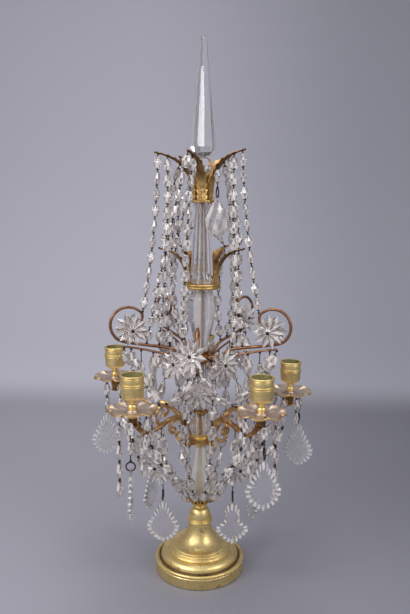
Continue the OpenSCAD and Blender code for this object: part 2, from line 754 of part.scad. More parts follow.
// Edge of a petalled pan at angle a: its radius, how far it turns up, and the pan's underside at radius r
function pan_petal(a) = abs(cos(a * pan_petals / 2));
function pan_edge(a) = pan_r * (1 - pan_scallop * (1 - pow(pan_petal(a), 0.7)));
function pan_lift(a) = pan_rise + pan_ruffle * (1 - pan_petal(a));
function pan_share(a, r) = (r - pan_boss_r) / (pan_edge(a) - pan_boss_r);
function pan_under(a, r) = pan_z + (pan_boss_h - pan_t) / 2 + pan_lift(a) * pow(pan_share(a, r), 2);

module drip_pan() {
    steps = 5 * pan_petals;
    shares = [-0.05, 0.5, 1];
    function skin(side) = [
        for (s = shares) [for (j = [0:steps - 1]) let (a = 360 * j / steps, r = mix(pan_boss_r, pan_edge(a), s))
            [r * cos(a), r * sin(a), pan_under(a, r) + (side > 0 ? pan_t : 0)]]
    ];
    difference() {
        union() {
            sheet(skin(1), skin(-1), wrapped = true);
            translate([0, 0, pan_z]) cylinder(r = pan_boss_r, h = pan_boss_h);
        }
        translate([0, 0, pan_z - 1]) cylinder(r = stud_r + stud_gap, h = pan_boss_h + 2);
    }
}

module drip_pans() {
    for (k = [0:4]) at_cup(k) color(patina) drip_pan();
}

module cup(k) {
    knob = cup_foot_h * 0.46;
    knob_r = knob * 0.72;
    neck_r = 3;
    body_z = cup_z + cup_foot_h;
    rim_z = body_z + cup_body_h;
    mid_z = body_z + cup_body_h * 0.52;
    bead = 0.9;
    outline = concat(
        [[0, cup_z], [knob_r * 0.62, cup_z]],
        arc([knob_r * 0.25, cup_z + knob / 2], knob_r * 0.75, -50, 50, 6),
        [[neck_r, cup_z + knob + 0.6], [neck_r, cup_z + cup_foot_h * 0.62], [cup_r * 0.5, body_z - 3.2],
         [cup_r * 0.86, body_z - 1], [cup_r - 0.3, body_z + 1.4], [cup_r - 0.3, mid_z - 2 * bead]],
        arc([cup_r - 0.3, mid_z - bead], bead, -90, 90, 4),
        arc([cup_r - 0.3, mid_z + bead], bead, -90, 90, 4),
        [[cup_r - 0.3, rim_z - 2 * bead - 1.2]],
        arc([cup_r - 0.3, rim_z - bead], bead, -60, 90, 5),
        [[0, rim_z]]
    );
    color(brass) at_cup(k) {
        difference() {
            lathe(outline);
            translate([0, 0, body_z + cup_floor]) cylinder(r = cup_in_r, h = cup_body_h);
        }
        translate([0, 0, pan_z]) cylinder(r = stud_r, h = pan_boss_h + 1);
    }
}

// Volutes

function sag(k) = k == front ? front_sag : 0;
function volute_centre(k) = [volute_reach, volute_z - sag(k)];
function volute_eye(k) = volute_centre(k) + volute_r * [-0.18, -0.28];

// Line of volute k in radius and height, from the branch hub out and round its curl to its eye
function volute_line(k) =
    let (c = volute_centre(k), root = [wire_root_r, branch_root_z + wire_r * 0.6])
    curve(concat(
        [root, root + [2.5, 0], root + [6, 0.3], mix(root, c, 0.18) + [0, -4.5],
         mix(root, c, 0.36) + [0, -3.5], mix(root, c, 0.72) - [0, volute_r * 0.65]],
        [for (a = [-70:35:140]) c + volute_r * [cos(a), sin(a)]],
        [c + volute_r * [-0.78, 0.25], c + volute_r * [-0.55, -0.1], volute_eye(k)]
    ), 2);

// Lower wire of volute k, out to the hook that the swags hang on
function hook_line(k) =
    let (root = [wire_root_r, branch_root_z - wire_r * 1.9],
         tip = [volute_reach + 5, branch_root_z + volute_rise * 0.4 - sag(k)])
    curve([root, root + [2.5, 0], root + [6, 0.1], mix(root, tip, 0.18) + [0, -0.6], mix(root, tip, 0.4) + [0, 1],
           mix(root, tip, 0.75) + [0, 1.4], tip], 2);

module volute(k) {
    main = volute_line(k);
    hook = hook_line(k);
    color(copper) rotate(volute_bearing[k]) {
        tube(main, swell(wire_r * 1.15, wire_r, wire_r * 0.9, len(main)), 6);
        tube(hook, swell(wire_r * 0.9, wire_r * 0.8, wire_r * 0.7, len(hook)), 6);
        translate([branch_flat, 0, branch_root_z - wire_r * 0.65])
            rotate([0, 90, 0]) cylinder(r = wire_r * 2.6, h = branch_foot_t);
    }
}

// Places on a line at step i, off its centre by d on the left (+) or right (-) of its run
function beside(line, i, d) =
    let (n = len(line), t = unit(line[clamp(i + 1, n)] - line[clamp(i - 1, n)]))
    line[i] + d * [-t[1], t[0]];
function at_bearing(p, bearing) = polar(p[0], bearing, p[1]);

// First step of an outgoing line at or past radius r
function step_at(line, r) = [for (i = [0:len(line) - 1]) if (line[i][0] >= r) i][0];

// Ties on volute k: on top of its wire at radius r, on the rim of its curl and under its hook wire at radius r
function wire_tie(k, r) =
    let (line = volute_line(k)) at_bearing(beside(line, step_at(line, r), wire_r * 1.1), volute_bearing[k]);
function rim_tie(k, a) =
    at_bearing(volute_centre(k) + (volute_r + wire_r) * [cos(a), sin(a)], volute_bearing[k]);
function hook_tie(k, r) =
    let (line = hook_line(k)) at_bearing(beside(line, step_at(line, r), -wire_r * 0.85), volute_bearing[k]);

// Strung almonds

// Almond with cut ends, its length along Z and its broad face towards X, thin for a neck at its top
module almond(length, w, t, end, neck = 0) {
    h = length / 2;
    face = neck > 0
        ? [[end / 2, h], [w * 0.4, h * 0.5], [w / 2, h * 0.05], [w * 0.42, -h * 0.45], [end / 2, -h]]
        : [[end / 2, h], [w / 2, h * 0.1], [end / 2, -h]];
    side = neck > 0
        ? [[plaque_edge_t / 2, h], [plaque_edge_t / 2, h - neck], [t / 2, h * 0.15], [t / 2, -h * 0.25], [end / 4, -h]]
        : [[end / 2, h], [t / 2, h * 0.1], [end / 2, -h]];
    function both(p) = concat(p, [for (i = [len(p) - 1:-1:0]) [-p[i][0], p[i][1]]]);
    intersection() {
        rotate([90, 0, 90]) linear_extrude(t + 1, center = true) polygon(both(face));
        rotate([90, 0, 0]) linear_extrude(w + 1, center = true) polygon(both(side));
    }
}

// A route is [start, end, bow, bead]: a line between two points, bowed by a vector at its
// middle and strung with almonds of the size bead: length, width and thickness
small = [bead_len, bead_w, bead_t];
medium = [mid_bead_len, mid_bead_w, mid_bead_t];
large = [long_bead_len, long_bead_w, long_bead_t];
function route_at(r, t) = mix(r[0], r[1], t) + 4 * t * (1 - t) * r[2];

// Distance along a route against its share, to space the almonds evenly
function route_table(r) = let (steps = 20) [
    for (i = 0, s = 0; i <= steps; i = i + 1, s = s + norm(route_at(r, i / steps) - route_at(r, (i - 1) / steps)))
        [s, i / steps]
];
function route_len(r) = let (table = route_table(r)) table[len(table) - 1][0];
function route_count(r) = max(1, floor((route_len(r) - pin_len) / (r[3][0] + pin_len)));

// Ends of every almond on a route, in order
function route_beads(r) =
    let (table = route_table(r), n = route_count(r), long = r[3][0],
         gap = (route_len(r) - n * long) / (n + 1))
    [for (i = [0:n - 1])
        let (s = gap + i * (long + gap),
             a = route_at(r, lookup(s, table)), b = route_at(r, lookup(s + long, table)),
             half = unit(b - a) * long / 2)
        [(a + b) / 2 - half, (a + b) / 2 + half]];

module route_almonds(r) {
    beads = route_beads(r);
    for (i = [0:len(beads) - 1])
        along((beads[i][0] + beads[i][1]) / 2, beads[i][1] - beads[i][0])
            rotate(bead_twist * ((i % 3) - 1)) almond(r[3][0], r[3][1], r[3][2], bead_end);
}

// Wire from a to b, stopping short of them by those gaps
module pin(a, b, gap_a, gap_b) {
    d = unit(b - a);
    along(a + d * gap_a, d) cylinder(r = pin_r, h = norm(b - a) - gap_a - gap_b);
}

// Pins of a route; the last almond of a loose end has none below it
module route_pins(r, loose = false) {
    beads = route_beads(r);
    last = len(beads) - 1;
    pin(r[0], beads[0][0], tie_gap, pin_gap);
    for (i = [1:1:last]) pin(beads[i - 1][1], beads[i][0], pin_gap, pin_gap);
    if (!loose) pin(beads[last][1], r[1], pin_gap, tie_gap);
}

// A route that hangs straight down from p
function hang(p, fall, bead) = [p, p - [0, 0, fall], [0, 0, 0], bead];
function fall_of(n, bead) = n * bead[0] + (n + 1) * pin_len;

// Ties under (-1) or on (1) a leaf, so many steps back from its tip and at share c of its half width
function leaf_tie(line, back, face, bearing, sway = 0, c = 0) =
    let (n = len(line) - 1, i = n - back, half = leaf_half(i, n), turn = bearing + sway * smooth(i / n),
         p = beside(line, i, face * leaf_t / 2 + half * leaf_cup * c * c))
    at_bearing(p, turn) + half * c * [-sin(turn), cos(turn), 0];
function top_line(k) = leaf_line(top_ring_r - leaf_inset, socket_z, top_reach(k), top_rise(k));
low_line = leaf_line(low_ring_r - leaf_inset, column_z, low_leaf_reach, low_leaf_rise);
function top_tie(k, back, c = 0) =
    leaf_tie(top_line(k), back, -1, volute_bearing[k], top_sway(k), c);
function low_tie(k, back, face) = leaf_tie(low_line, back, face, volute_bearing[k]);
function across(k) = (k < 3 ? -1 : 1) * [-sin(volute_bearing[k]), cos(volute_bearing[k]), 0];
function outward(k) = [cos(volute_bearing[k]), sin(volute_bearing[k]), 0];

// Tent: from the upper leaves to the volutes, some by way of the lower leaves.
// The front leaf leans left, so its strings run to the left volute and the left lower leaf,
// and the large drop hangs on a short chain from the front edge of the right leaf.
drop_chain = hang(top_tie(right, 7, drop_side), drop_fall, small);
tent_routes = concat(
    [for (k = [1:4]) [top_tie(k, 1), rim_tie(k, 140), -4 * outward(k), small]],
    [for (k = [1:4]) [top_tie(k, 3), wire_tie(k, 0.55 * volute_reach), 15 * across(k), small]],
    [for (k = [1:4]) [top_tie(k, 6), low_tie(k, 2, 1), -17 * across(k), small]],
    [for (k = [1:4]) [low_tie(k, 2, -1), wire_tie(k, 0.42 * volute_reach), -7 * across(k), small]],
    [[top_tie(front, 1), wire_tie(left, 0.7 * volute_reach), 14 * outward(front), small],
     [top_tie(front, 3), wire_tie(left, 0.26 * volute_reach), 14 * outward(front), small],
     [top_tie(front, 5), low_tie(left, 5, 1), [0, 0, 0], small],
     drop_chain]
);

module tent_almonds() {
    color(clear) for (r = tent_routes) route_almonds(r);
}

module tent_pins() {
    color(iron) for (r = tent_routes) route_pins(r);
}

// Swags: from each volute's hook down to the scrolls of the two arms beside it, with loose
// almonds under each hook wire
function scroll_tie(k, i) =
    at_bearing(beside(arm_curve(k, arm_scroll, arm_steps), i, -arm_r * 0.85), arm_bearing[k]);
swag_routes = concat(
    [for (k = [0:4]) [hook_tie(k, 0.88 * volute_reach), scroll_tie(k, 7), [0, 0, -10], large]],
    [for (k = [0:4]) [hook_tie(k, volute_reach), scroll_tie((k + 4) % 5, 9), [0, 0, -10], large]]
);
swag_loose = concat(
    [for (k = [1:4]) hang(hook_tie(k, 0.62 * volute_reach), fall_of(2, large), large)],
    [for (k = [0:4]) hang(hook_tie(k, 0.8 * volute_reach), pendant_fall, medium)]
);
centre_chain = hang(hook_tie(front, 0.45 * volute_reach), fall_of(1, large), large);

module swag_almonds() {
    color(clear) for (r = concat(swag_routes, swag_loose, [centre_chain])) route_almonds(r);
}

module swag_pins() {
    color(iron) {
        for (r = concat(swag_routes, [centre_chain])) route_pins(r);
        for (r = swag_loose) route_pins(r, loose = true);
    }
}

// Basket: from each arm down to a knee, where a plaque hangs, then in to the drip bowl; between the
// arms a string falls from the hook wire to the bowl, and two fall either side of the front
function under_arm(k, i) = at_bearing(beside(arm_curve(k, arm_line, arm_steps), i, -arm_r), arm_bearing[k]);
function arm_out(k) = [cos(arm_bearing[k]), sin(arm_bearing[k]), 0];
function basket_knee(k) = polar(knee_reach, arm_bearing[k], hub_z - knee_drop - droop(k, knee_reach));
function knee_top(k) = basket_knee(k) + [0, 0, rosette_pin_r];
function knee_back(k) = basket_knee(k) - arm_out(k) * knee_tail;
bowl_strings = 11;
function bowl_tie(i) = polar(
    bowl_r + 1.2 * pin_r, volute_bearing[front] + 360 * (i + 0.5) / bowl_strings, bowl_z + bowl_h * 0.8);
function hub_pin_tie(k) = polar(hub_string_reach, arm_bearing[k], branch_root_z - rosette_pin_r);
function front_bow(side) = polar(front_fall_bow, volute_bearing[front] + front_fall_turn * side, 0);
basket_routes = concat(
    [for (k = [0:4]) [under_arm(k, arm_basket_step), knee_top(k), [0, 0, 0], large]],
    [for (k = [0:4]) [knee_back(k), bowl_tie(2 * k + 1), [0, 0, -5], large]],
    [for (k = [1:4]) [hook_tie(k, 0.36 * volute_reach), bowl_tie(2 * k), fall_bow * outward(k), large]],
    [[hub_pin_tie(0), bowl_tie(-front_close), front_bow(1), medium],
     [hub_pin_tie(4), bowl_tie(bowl_strings - 1 + front_close), front_bow(-1), medium]]
);

// Loose almonds under the arms and round the pans
function pan_tie(k, turn, share) =
    polar(cup_reach, arm_bearing[k], -droop(k, cup_reach))
    + polar(pan_r * share, arm_bearing[k] + turn, pan_under(turn, pan_r * share));
loose_routes = concat(
    [for (k = [0:4]) for (turn = [-135, -90, 90, 135]) hang(pan_tie(k, turn, pan_hang), fall_of(2, small), small)],
    [for (k = [0:4]) hang(under_arm(k, arm_loose_step), fall_of(2, large), large)]
);

// Chains that carry the plaques: from under a pan and from a basket's knee
function outer_chain(k) = hang(pan_tie(k, chain_turn[k], chain_hang), outer_fall[k], small);
function inner_chain(k) = hang(basket_knee(k) - [0, 0, rosette_pin_r], inner_fall, small);
chain_routes = [for (k = [0:4]) each [outer_chain(k), inner_chain(k)]];

module basket_almonds() {
    color(clear) for (r = concat(basket_routes, loose_routes, chain_routes)) route_almonds(r);
}

module basket_pins() {
    color(iron) {
        for (r = concat(basket_routes, chain_routes)) route_pins(r);
        for (r = loose_routes) route_pins(r, loose = true);
    }
}

// Rosettes

// Star of ridged petals on the +Z axis, standing on a small round heel at its back
module rosette() {
    n = rosette_petals;
    m = 2 * n;
    heel = [for (j = [0:m - 1]) let (a = 180 * j / n) rosette_r * 0.3 * [cos(a), sin(a), 0]];
    rim = [for (j = [0:m - 1]) let (a = 180 * j / n, tip = j % 2 == 0, r = rosette_r * (tip ? 1 : 0.62))
        [r * cos(a), r * sin(a), rosette_t * (tip ? 0.75 : 0.3)]];
    bowl = [for (j = [0:m - 1]) let (a = 180 * j / n, tip = j % 2 == 0, r = rosette_r * 0.34)
        [r * cos(a), r * sin(a), rosette_t * (tip ? 0.55 : 0.4)]];
    walls = [for (i = [0, 1]) for (j = [0:m - 1]) let (a = i * m + j, b = i * m + (j + 1) % m)
        each [[a, b + m, b], [a, a + m, b + m]]];
    eye = [for (j = [0:m - 1]) [2 * m + j, 3 * m, 2 * m + (j + 1) % m]];
    back = [for (j = [0:m - 1]) j];
    polyhedron(concat(heel, rim, bowl, [[0, 0, rosette_t]]), concat(walls, eye, [back]));
}

// A spot is [point, bearing, tilt, start, stand]: a pin leaves the point towards the bearing,
// raised by the tilt, from start as far as stand, where the rosette's heel sits
function volute_spot(k, side) =
    [at_bearing(volute_eye(k), volute_bearing[k]), volute_bearing[k] + 90 * side, 0, wire_r, wire_r + rosette_gap];
function hub_spot(k) = [[0, 0, branch_root_z], arm_bearing[k], 0, hub_socket_r, hub_rosette_reach];
function knee_spot(k) = [basket_knee(k), arm_bearing[k], 0, -knee_tail, knee_stand];
front_spot = [rim_tie(front, -15), volute_bearing[front] - 28, 18, 0, knee_stand];
centre_spot = [centre_chain[1] - [0, 0, rosette_pin_r], volute_bearing[front], 0, -knee_tail, knee_stand];
rosette_spots = concat(
    [for (k = [1:4]) for (side = [-1, 1]) volute_spot(k, side)],
    [for (k = [0:4]) hub_spot(k)],
    [for (k = [0:4]) knee_spot(k)],
    [front_spot, centre_spot]
);

// Turns children's +Z along a spot's pin, with its point at the origin
module at_spot(s) {
    translate(s[0]) rotate([0, 90 - s[2], s[1]]) children();
}

module rosettes() {
    color(clear) for (s = rosette_spots) at_spot(s) translate([0, 0, s[4]]) rotate(11) rosette();
}

module rosette_pins() {
    color(iron) for (s = rosette_spots) at_spot(s)
        translate([0, 0, s[3] + pin_gap]) cylinder(r = rosette_pin_r, h = s[4] - s[3] - 2 * pin_gap);
}

// Hanging plaques

// Half width of a plaque at share t from its top: pear-shaped, waisted by that much above the middle
function plaque_half(t, w, waist) =
    let (body = pow(sin(180 * pow(t, 1.36)), 0.7), pinch = 1 - waist * exp(-pow((t - 0.38) / 0.13, 2)))
    max(plaque_tip, w / 2 * body * pinch * (1 + 0.03 * cos(360 * plaque_notches * t)));

// Outline drawn in from the edge by inset and started below the top by start
function plaque_outline(w, h, waist, inset, start) =
    let (n = 4 * plaque_notches,
         sides = [for (i = [0:n]) let (drop = mix(start, h - inset, i / n))
             [plaque_half(drop / h, w, waist) - inset * 0.75, -drop]])
    concat(sides, [for (i = [n:-1:0]) [-sides[i][0], sides[i][1]]]);

// Plaque with its hole on the origin, hanging down -Z and facing X
module plaque(w, h, waist) {
    table_start = plaque_hole_drop + plaque_hole_r + plaque_bevel;
    difference() {
        translate([0, 0, plaque_hole_drop]) rotate([90, 0, 90]) {
            linear_extrude(plaque_edge_t, center = true) polygon(plaque_outline(w, h, waist, 0, 0));
            linear_extrude(plaque_t, center = true) polygon(plaque_outline(w, h, waist, plaque_bevel, table_start));
        }
        rotate([0, 90, 0]) cylinder(r = plaque_hole_r, h = plaque_t + 2, center = true);
    }
}

// The ring's wire lies near the top of the hole; its own top is this far above the hole's middle
ring_lift = plaque_hole_r - ring_wire_r - hang_gap;
ring_top = 2 * ring_r + ring_lift + ring_wire_r;
function outer_place(k) = outer_chain(k)[1] - [0, 0, ring_top];
function inner_place(k) = inner_chain(k)[1] - [0, 0, ring_top];

module outer_plaque(k) {
    color(clear) translate(outer_place(k)) rotate(outer_turn[k]) plaque(outer_plaque_w, outer_plaque_h, 0);
}

module inner_plaque(k) {
    color(clear) translate(inner_place(k)) rotate(inner_turn[k]) plaque(inner_plaque_w, inner_plaque_h, inner_waist[k]);
}

drop_place = drop_chain[1] - [0, 0, ring_top];

module almond_drop() {
    color(clear) translate(drop_place) rotate(drop_turn) difference() {
        translate([0, 0, plaque_hole_drop - drop_h / 2])
            almond(drop_h, drop_w, drop_t, 2 * plaque_tip, plaque_hole_drop + plaque_hole_r + 1);
        rotate([0, 90, 0]) cylinder(r = plaque_hole_r, h = drop_t + 2, center = true);
    }
}

// Wire ring through the hole of what hangs at p, standing across its face
module hang_ring(p, turn) {
    translate(p + [0, 0, ring_r + ring_lift]) rotate(turn) rotate([90, 0, 0])
        rotate_extrude() translate([ring_r, 0]) circle(r = ring_wire_r);
}

module plaque_rings() {
    color(iron) {
        for (k = [0:4]) {
            hang_ring(outer_place(k), outer_turn[k]);
            hang_ring(inner_place(k), inner_turn[k]);
        }
        hang_ring(drop_place, drop_turn);
    }
}

// Pieces on show

foot_plinth();
bell_stem();
dome_knob();
foot_washer();
foot_nut();
centre_rod();
drip_bowl();
glass_pear();
arm_hub();
hub_ball();
hub_cap();
mid_column();
branch_hub();
glass_urn();
lower_crown_ring();
lower_crown_leaves();
fluted_column();
upper_crown_ring();
upper_crown_leaves();
spire_socket();
spire_ball();
spire();
for (k = [0:4]) arm(k);
for (k = [0:4]) cup(k);
drip_pans();
for (k = [0:4]) volute(k);
rosettes();
rosette_pins();
tent_almonds();
tent_pins();
swag_almonds();
swag_pins();
basket_almonds();
basket_pins();
plaque_rings();
for (k = [0:4]) outer_plaque(k);
for (k = [0:4]) inner_plaque(k);
almond_drop();
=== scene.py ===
"""Looks of a five-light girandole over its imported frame: pieces, finishes, light and camera."""

import json
import logging
import math
from collections.abc import Callable, Sequence
from dataclasses import dataclass
from enum import Enum
from typing import Any

import bmesh
import bpy
import numpy as np
from mathutils import Matrix, Vector


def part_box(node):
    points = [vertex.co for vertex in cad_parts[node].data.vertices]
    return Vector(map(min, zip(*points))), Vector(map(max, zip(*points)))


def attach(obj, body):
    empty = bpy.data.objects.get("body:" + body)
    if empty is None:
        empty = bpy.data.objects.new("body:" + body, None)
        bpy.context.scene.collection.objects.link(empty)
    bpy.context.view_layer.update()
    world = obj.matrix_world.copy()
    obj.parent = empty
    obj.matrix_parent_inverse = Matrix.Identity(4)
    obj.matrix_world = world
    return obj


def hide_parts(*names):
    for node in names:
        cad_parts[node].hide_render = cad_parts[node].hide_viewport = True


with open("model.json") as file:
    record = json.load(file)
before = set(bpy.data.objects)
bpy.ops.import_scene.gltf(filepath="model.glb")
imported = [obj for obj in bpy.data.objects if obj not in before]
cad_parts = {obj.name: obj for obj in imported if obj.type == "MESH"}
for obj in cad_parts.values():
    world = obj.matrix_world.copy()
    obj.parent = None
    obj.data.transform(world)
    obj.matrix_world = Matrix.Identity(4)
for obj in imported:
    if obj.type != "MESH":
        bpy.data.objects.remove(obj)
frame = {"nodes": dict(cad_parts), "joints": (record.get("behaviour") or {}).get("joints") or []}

LOG = logging.getLogger("girandole")
MM = 0.001
STAND = "stand"
FULL_TURN = 2 * math.pi
ARM_NAMES = ("front_right", "back_right", "back", "back_left", "front_left")
VOLUTE_NAMES = ("front", "right", "rear_right", "rear_left", "left")
ARM_BEARINGS = tuple(math.radians(-54 + 72 * k) for k in range(5))
VOLUTE_BEARINGS = tuple(math.radians(-90 + 72 * k) for k in range(5))

# Sizes that several sub-assemblies share, in millimetres
BORE_R = 2.9
BOWL_Z = 85.0
PEAR_Z = 89.0
ARM_REACH = 119.6
ARM_DROPS = (0.0, 15.0, 0.0, 0.0, 0.0)
VOLUTE_SAGS = (13.0, 0.0, 0.0, 0.0, 0.0)
LEAF_WIDTH = 15.0
MERGE = 0.002

Colour = tuple[float, float, float, float]
Outline = list[tuple[float, float]]

# Sides of the plaques from the top down, in shares of half the width and of the height
SPADE: Outline = [
    (0.15, 0), (0.24, 0.08), (0.44, 0.2), (0.72, 0.38), (0.96, 0.54), (0.98, 0.66), (0.74, 0.82),
    (0.36, 0.94), (0, 1)]
WAISTED: Outline = [
    (0.15, 0), (0.36, 0.09), (0.47, 0.2), (0.44, 0.36), (0.6, 0.48), (0.98, 0.6), (0.92, 0.72),
    (0.6, 0.85), (0.28, 0.95), (0, 1)]


class Shading(Enum):
    """Angle in degrees past which an edge of a piece shows as a crease."""

    FACETED = 0.0
    CRISP = 24.0
    ROUND = 50.0


def paint(red: int, green: int, blue: int) -> Colour:
    """Turns a colour as it shows on a screen, 0 to 255, into a shader's linear colour.

    Args:
        red: share of red.
        green: share of green.
        blue: share of blue.

    Returns:
        The linear colour with full alpha.
    """
    shares = [v / 255 for v in (red, green, blue)]
    linear = [s / 12.92 if s <= 0.04045 else ((s + 0.055) / 1.055) ** 2.4 for s in shares]
    return (linear[0], linear[1], linear[2], 1.0)


def blend_of(a: float, b: float, share: float) -> float:
    """Value at that share of the way from a to b."""
    return a + (b - a) * share


def ease(share: float) -> float:
    """Smooth step from 0 to 1."""
    t = min(max(share, 0.0), 1.0)
    return t * t * (3 - 2 * t)


def smooth_line(points: Sequence[Sequence[float]], steps: int) -> list[Vector]:
    """Draws a smooth line through points.

    Args:
        points: points in any number of dimensions.
        steps: parts that each stretch between two points is cut into.

    Returns:
        The points of the smooth line.
    """
    given = [Vector(p) for p in points]
    line = []
    last = len(given) - 1
    for i in range(last):
        before = given[max(i - 1, 0)]
        start = given[i]
        end = given[i + 1]
        after = given[min(i + 2, last)]
        for j in range(steps):
            t = j / steps
            line.append(0.5 * (2 * start + (end - before) * t
                               + (2 * before - 5 * start + 4 * end - after) * t ** 2
                               + (3 * start - before - 3 * end + after) * t ** 3))
    line.append(given[last])
    return line


def arc(centre: tuple[float, float], radius: float, start: float, end: float, steps: int) -> Outline:
    """Points of an arc in radius and height.

    Args:
        centre: middle of the arc.
        radius: its radius.
        start: first angle in degrees.
        end: last angle in degrees.
        steps: parts of the arc.

    Returns:
        The arc's points.
    """
    angles = [math.radians(blend_of(start, end, i / steps)) for i in range(steps + 1)]
    return [(centre[0] + radius * math.cos(a), centre[1] + radius * math.sin(a)) for a in angles]


def ring_outline(inner: float, outer: float, low: float, high: float) -> Outline:
    """Outline of a plain ring, or of a rod if the inner radius is nought, between two heights."""
    return [(inner, low), (outer, low), (outer, high), (inner, high)]


def taper(line: Sequence[Vector], first: float, last: float, power: float = 1.0) -> list[float]:
    """Radii that run from the first to the last along a line.

    Args:
        line: the line's points.
        first: radius at its start.
        last: radius at its end.
        power: how late the change comes, 1 is even.

    Returns:
        One radius for each point.
    """
    steps = len(line) - 1
    return [blend_of(first, last, (i / steps) ** power) for i in range(steps + 1)]


def radius_of(at: Vector) -> float:
    """Distance of a point from the upright axis."""
    return math.hypot(at.x, at.y)


def turn_of(at: Vector) -> float:
    """Bearing of a point about the upright axis."""
    return math.atan2(at.y, at.x)


def facing(at: Vector, way: Vector, axis: str, up: str) -> Matrix:
    """Place at a point with one axis turned a given way and another kept upwards."""
    return Matrix.Translation(at) @ way.to_track_quat(axis, up).to_matrix().to_4x4()


def upright(bearing: float, radius: float = 0.0, height: float = 0.0) -> Matrix:
    """Place on the stand: turned to a bearing, out to a radius and up to a height."""
    return Matrix.Rotation(bearing, 4, "Z") @ Matrix.Translation((radius, 0, height))


class Sock:
    """Output of a shader node that takes part in Python arithmetic."""

    def __init__(self, graph: "Graph", socket: bpy.types.NodeSocket) -> None:
        """Keeps the graph and its socket."""
        self.graph = graph
        self.socket = socket

    def _math(self, operation: str, first: "Sock | float", second: "Sock | float") -> "Sock":
        """Adds a Math node for one operation."""
        return self.graph.add("ShaderNodeMath", {"operation": operation}, {0: first, 1: second})

    def __add__(self, other: "Sock | float") -> "Sock":
        """Sum."""
        return self._math("ADD", self, other)

    def __radd__(self, other: "Sock | float") -> "Sock":
        """Sum, reflected."""
        return self._math("ADD", other, self)

    def __sub__(self, other: "Sock | float") -> "Sock":
        """Difference."""
        return self._math("SUBTRACT", self, other)

    def __rsub__(self, other: "Sock | float") -> "Sock":
        """Difference, reflected."""
        return self._math("SUBTRACT", other, self)

    def __mul__(self, other: "Sock | float") -> "Sock":
        """Product."""
        return self._math("MULTIPLY", self, other)

    def __rmul__(self, other: "Sock | float") -> "Sock":
        """Product, reflected."""
        return self._math("MULTIPLY", other, self)

    def step(self, low: float, high: float) -> "Sock":
        """Smooth step from 0 at low to 1 at high."""
        values = {"Value": self, "From Min": low, "From Max": high}
        return self.graph.add("ShaderNodeMapRange", {"interpolation_type": "SMOOTHSTEP"}, values)


class Graph:
    """Shader graph of one material."""

    def __init__(self, name: str) -> None:
        """Starts an empty material."""
        self.material = bpy.data.materials.new(name)
        self.material.use_nodes = True
        self.tree = self.material.node_tree
        self.tree.nodes.clear()

    def add(
        self,
        kind: str,
        settings: dict[str, Any] | None = None,
        values: dict[str | int, Any] | None = None,
        output: str | int = 0,
    ) -> Sock:
        """Adds one node.

        Args:
            kind: type of the node.
            settings: its own settings, set first.
            values: values or links of its sockets.
            output: the output to hand on.

        Returns:
            That output.
        """
        node = self.tree.nodes.new(kind)
        for key, value in (settings or {}).items():
            setattr(node, key, value)
        for key, value in (values or {}).items():
            if isinstance(value, Sock):
                self.tree.links.new(value.socket, node.inputs[key])
            else:
                node.inputs[key].default_value = value
        return Sock(self, node.outputs[output]) if len(node.outputs) else Sock(self, None)

    def places(self, scale: tuple[float, float, float] = (1, 1, 1)) -> Sock:
        """Object coordinates in metres, stretched by a scale."""
        at = self.add("ShaderNodeTexCoord", output="Object")
        return self.add("ShaderNodeMapping", {}, {"Vector": at, "Scale": scale})

    def noise(self, at: Sock, scale: float, detail: float = 4.0) -> Sock:
        """Cloudy noise about 0.5 at a scale per metre."""
        values = {"Vector": at, "Scale": scale, "Detail": detail, "Roughness": 0.6}
        return self.add("ShaderNodeTexNoise", {}, values)

    def mix(self, share: Sock | float, first: Sock | Colour, second: Sock | Colour) -> Sock:
        """Colour at that share of the way from the first to the second."""
        return self.add("ShaderNodeMix", {"data_type": "RGBA"}, {0: share, 6: first, 7: second}, 2)

    def mark(self, name: str) -> Sock:
        """Value of a piece's own attribute."""
        return self.add("ShaderNodeAttribute", {"attribute_name": name}, output="Fac")

    def bump(self, height: Sock, strength: float, depth: float) -> Sock:
        """Normal roughened by a height."""
        return self.add("ShaderNodeBump", {}, {"Strength": strength, "Distance": depth, "Height": height})

    def close(self, values: dict[str, Any]) -> bpy.types.Material:
        """Ends the graph in one Principled shader with these socket values or links."""
        surface = self.add("ShaderNodeBsdfPrincipled", {}, values)
        self.add("ShaderNodeOutputMaterial", {}, {"Surface": surface})
        return self.material


@dataclass(frozen=True)
class MetalFinish:
    """Aged metal: worn and tarnished colours, how they mottle, and a colour for rubbed edges."""

    name: str
    slot: str
    worn: Colour
    tarnish: Colour
    spot: Colour
    smooth: float
    dull: float
    grain: float
    share: float = 0.5
    edge: Colour | None = None
    thread: float = 0.0

    def material(self) -> bpy.types.Material:
        """Builds the finish.

        Returns:
            The material.
        """
        graph = Graph(self.name)
        at = graph.places()
        cloud = graph.noise(at, self.grain)
        fine = graph.noise(at, self.grain * 8, 3.0)
        stain = (cloud * 0.75 + fine * 0.25).step(self.share - 0.16, self.share + 0.2)
        colour = graph.mix(stain, self.worn, self.tarnish)
        spots = graph.noise(at, self.grain * 3.3, 2.0).step(0.6, 0.72) * 0.55
        colour = graph.mix(spots, colour, self.spot)
        if self.edge is not None:
            rubbed = graph.mark("rim") * (0.55 + 0.7 * fine)
            colour = graph.mix(rubbed.step(0.25, 0.75), colour, self.edge)
        brushed = graph.noise(graph.places((1, 1, 14)), 160.0, 3.0)
        height = fine * 0.4 + brushed * 0.6
        if self.thread > 0:
            waves = {"Vector": at, "Scale": self.thread}
            turns = graph.add("ShaderNodeTexWave", {"bands_direction": "Z"}, waves, 1)
            height = height * 0.2 + turns
        return graph.close({
            "Base Color": colour, "Metallic": 1.0,
            "Roughness": self.smooth + stain * (self.dull - self.smooth) + brushed * 0.1,
            "Normal": graph.bump(height, 0.22, 0.0006),
        })


